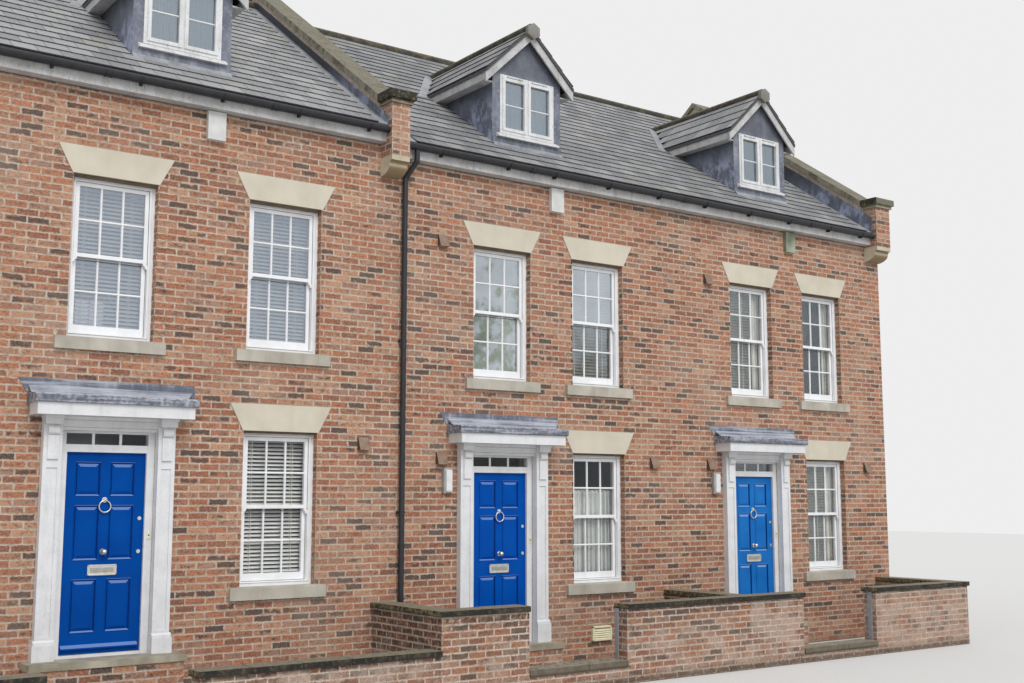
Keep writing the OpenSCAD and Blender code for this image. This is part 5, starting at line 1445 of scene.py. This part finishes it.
louvres = [(at(airVent.x, airVent.louvreY, low + airVent.first + louvreStep * index),
            (2 * inner, 0.03, 0.006), (1.0, 0, 0)) for index in range(airVent.louvres)]
layBlocks("air_vent_louvres", louvres, "cream", "vent_plastic")

light = Sizes(w=0.128, h=0.308, out=0.086, left=0.905, drop=0.539, rim=0.018, clipOver=0.004, clipHalf=0.012)
bodies = []
diffusers = []
for house in houses[1:]:
    x = house.door - light.left
    z = row.headZ - light.drop
    bodies.append(slab(x, x + light.w, -0.056, 0, z, z + light.h, 0.01))
    for clip in (0.25, 0.75):
        spot = z + light.h * clip
        bodies.append(slab(x - light.clipOver, x + light.w + light.clipOver, -0.05, -0.02,
                           spot - light.clipHalf, spot + light.clipHalf, 0.003))
    diffusers.append(slab(x + light.rim, x + light.w - light.rim, -light.out, -0.03, z + light.rim,
                          z + light.h - light.rim, 0.02))
lampBodies = weld("wall_light_bodies", bodies, "lampBody")
weld("wall_light_diffusers", diffusers, "lamp")
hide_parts("wall_lights")

bell = Sizes(x=0.458, y=0.016, z=1.175, w=0.03, h=0.075, out=0.012, button=0.008, stand=0.004)
bells = []
buttons = []
for house in houses:
    spot = at(house.door + bell.x, bell.y, house.leafZ + bell.z)
    bells.append(ease(spot - Vector((bell.w / 2, bell.out, bell.h / 2)),
                      spot + Vector((bell.w / 2, 0.001, bell.h / 2)), 0.003))
    buttons.append(tube([spot + Vector((0, -bell.stand, 0)), spot + Vector((0, -bell.out - bell.stand, 0))],
                        bell.button, 16))
weld("bell_pushes", bells, "cream")
weld("bell_buttons", buttons, "black")

# Mouldings planted round the door panels, on both faces of each leaf
leaf = Sizes(left=-0.42025, w=0.838, t=0.044, front=0.056, panelW=0.252, panelX=0.178,
             rows=((0.207, 0.53), (0.93, 0.556), (1.58, 0.348)))
stickOutline = [(-0.004, 0.0005), (-0.002, -0.003), (0.003, -0.004), (0.007, -0.001), (0.0178, 0.0085),
                (0.0178, 0.0095), (0.0, 0.0095), (0.0, 0.0005)]
for house in houses:
    body = "door_" + house.name
    parts = []
    for side in sides:
        left = house.door + leaf.left + leaf.w / 2 + side * leaf.panelX - leaf.panelW / 2
        for low, tall in leaf.rows:
            z = house.leafZ + low
            for face, y in ((1, leaf.front), (-1, leaf.front + leaf.t)):
                parts.append(rim(at(left, y, z), at(left + leaf.panelW, y, z + tall), stickOutline, face))
    sticks = weld("door_mouldings_" + house.name, parts, "door" + house.name.upper(), body)
    sticks.data.materials.append(finishes["doorShade"])
    for face in sticks.data.polygons:   # the faces of the upright mouldings that look sideways take the blue paint in painted shade
        face.material_index = int(abs(face.normal.x) > 0.3)

flap = Sizes(x=-0.00125, z=0.773, w=0.3, h=0.11, y=0.048, rim=0.014, inset=0.03)
for house in houses:
    centre = at(house.door + flap.x, flap.y, house.leafZ + flap.z + flap.h / 2)
    half = Vector((flap.w / 2, 0, flap.h / 2))
    edges = []
    for sideX, sideZ in ((-1, 0), (1, 0), (0, -1), (0, 1)):
        mid = centre + Vector((sideX * (half.x - flap.rim / 2), -0.001, sideZ * (half.z - flap.rim / 2)))
        size = Vector((flap.rim / 2 if sideX else half.x, 0.004, flap.rim / 2 if sideZ else half.z))
        edges.append(ease(mid - size, mid + size, 0.003))
    inside = Vector((half.x - flap.inset, 0.003, half.z - flap.inset))
    cover = ease(centre - inside + Vector((0, 0.002, 0)), centre + inside, 0.003)
    weld("letter_rim_" + house.name, edges, "brass", "door_" + house.name)
    weld("letter_flap_" + house.name, [cover], "flap", "door_" + house.name)

strips = [(gateEnds[1], -1.345, -1.287, flags.tops[1]), (gateEnds[2], -1.43, -1.36, flags.tops[2])]
weld("gate_strips", [slab(x - 0.018, x + 0.002, y0, y1, z, 0.863, 0.002) for x, y0, y1, z in strips],
     "steel")

# Stage, light and camera
studio = Sizes(background=0.86, ambient=0.74, key=1.75, keyAngle=30.0, keyTurn=(46, 0, -8), floor=60)
view = Sizes(place=(-9.572, -16.057, 2.185), pitch=0.127, yaw=-0.63, lens=43.10)
floorMesh = bpy.data.meshes.new("floor")
floorCorners = [(x * studio.floor, y * studio.floor, -0.002) for x, y in ((-1, -1), (1, -1), (1, 1), (-1, 1))]
floorMesh.from_pydata(floorCorners, [], [(0, 1, 2, 3)])
floorSkin = Skin("studio floor")
floorSkin.base = paint(214, 214, 212)
floorMesh.materials.append(floorSkin.dress(0.9))
newThing("floor", floorMesh)

world = bpy.data.worlds.new("studio")
scene.world = world
world.use_nodes = True
air = Graph(world.node_tree)
backdrop = air.tree.nodes["Background"]
air.feed(backdrop.inputs["Color"], (studio.ambient, studio.ambient, studio.ambient * 1.02, 1))
seen = air.add("ShaderNodeBackground", None,
               {"Color": (studio.background, studio.background, studio.background * 1.01, 1)})
direct, glossy, through = (air.add("ShaderNodeLightPath", None, None, "Is " + kind + " Ray")
                           for kind in ("Camera", "Glossy", "Transmission"))
choose = air.add("ShaderNodeMixShader", None,
                 {0: direct.most(glossy).most(through), 1: Wire(air, backdrop.outputs[0]), 2: seen})
air.feed(air.tree.nodes["World Output"].inputs["Surface"], choose)

sun = bpy.data.lights.new("key", "SUN")
sun.energy = studio.key
sun.angle = math.radians(studio.keyAngle)
newThing("key", sun).rotation_euler = Euler([math.radians(a) for a in studio.keyTurn])

lens = bpy.data.cameras.new("camera")
lens.lens = view.lens
lens.sensor_width = 36
scene.camera = newThing("camera", lens)
scene.camera.location = view.place
scene.camera.rotation_euler = Euler((math.pi / 2 + view.pitch, 0, view.yaw))
scene.view_settings.view_transform = "Standard"
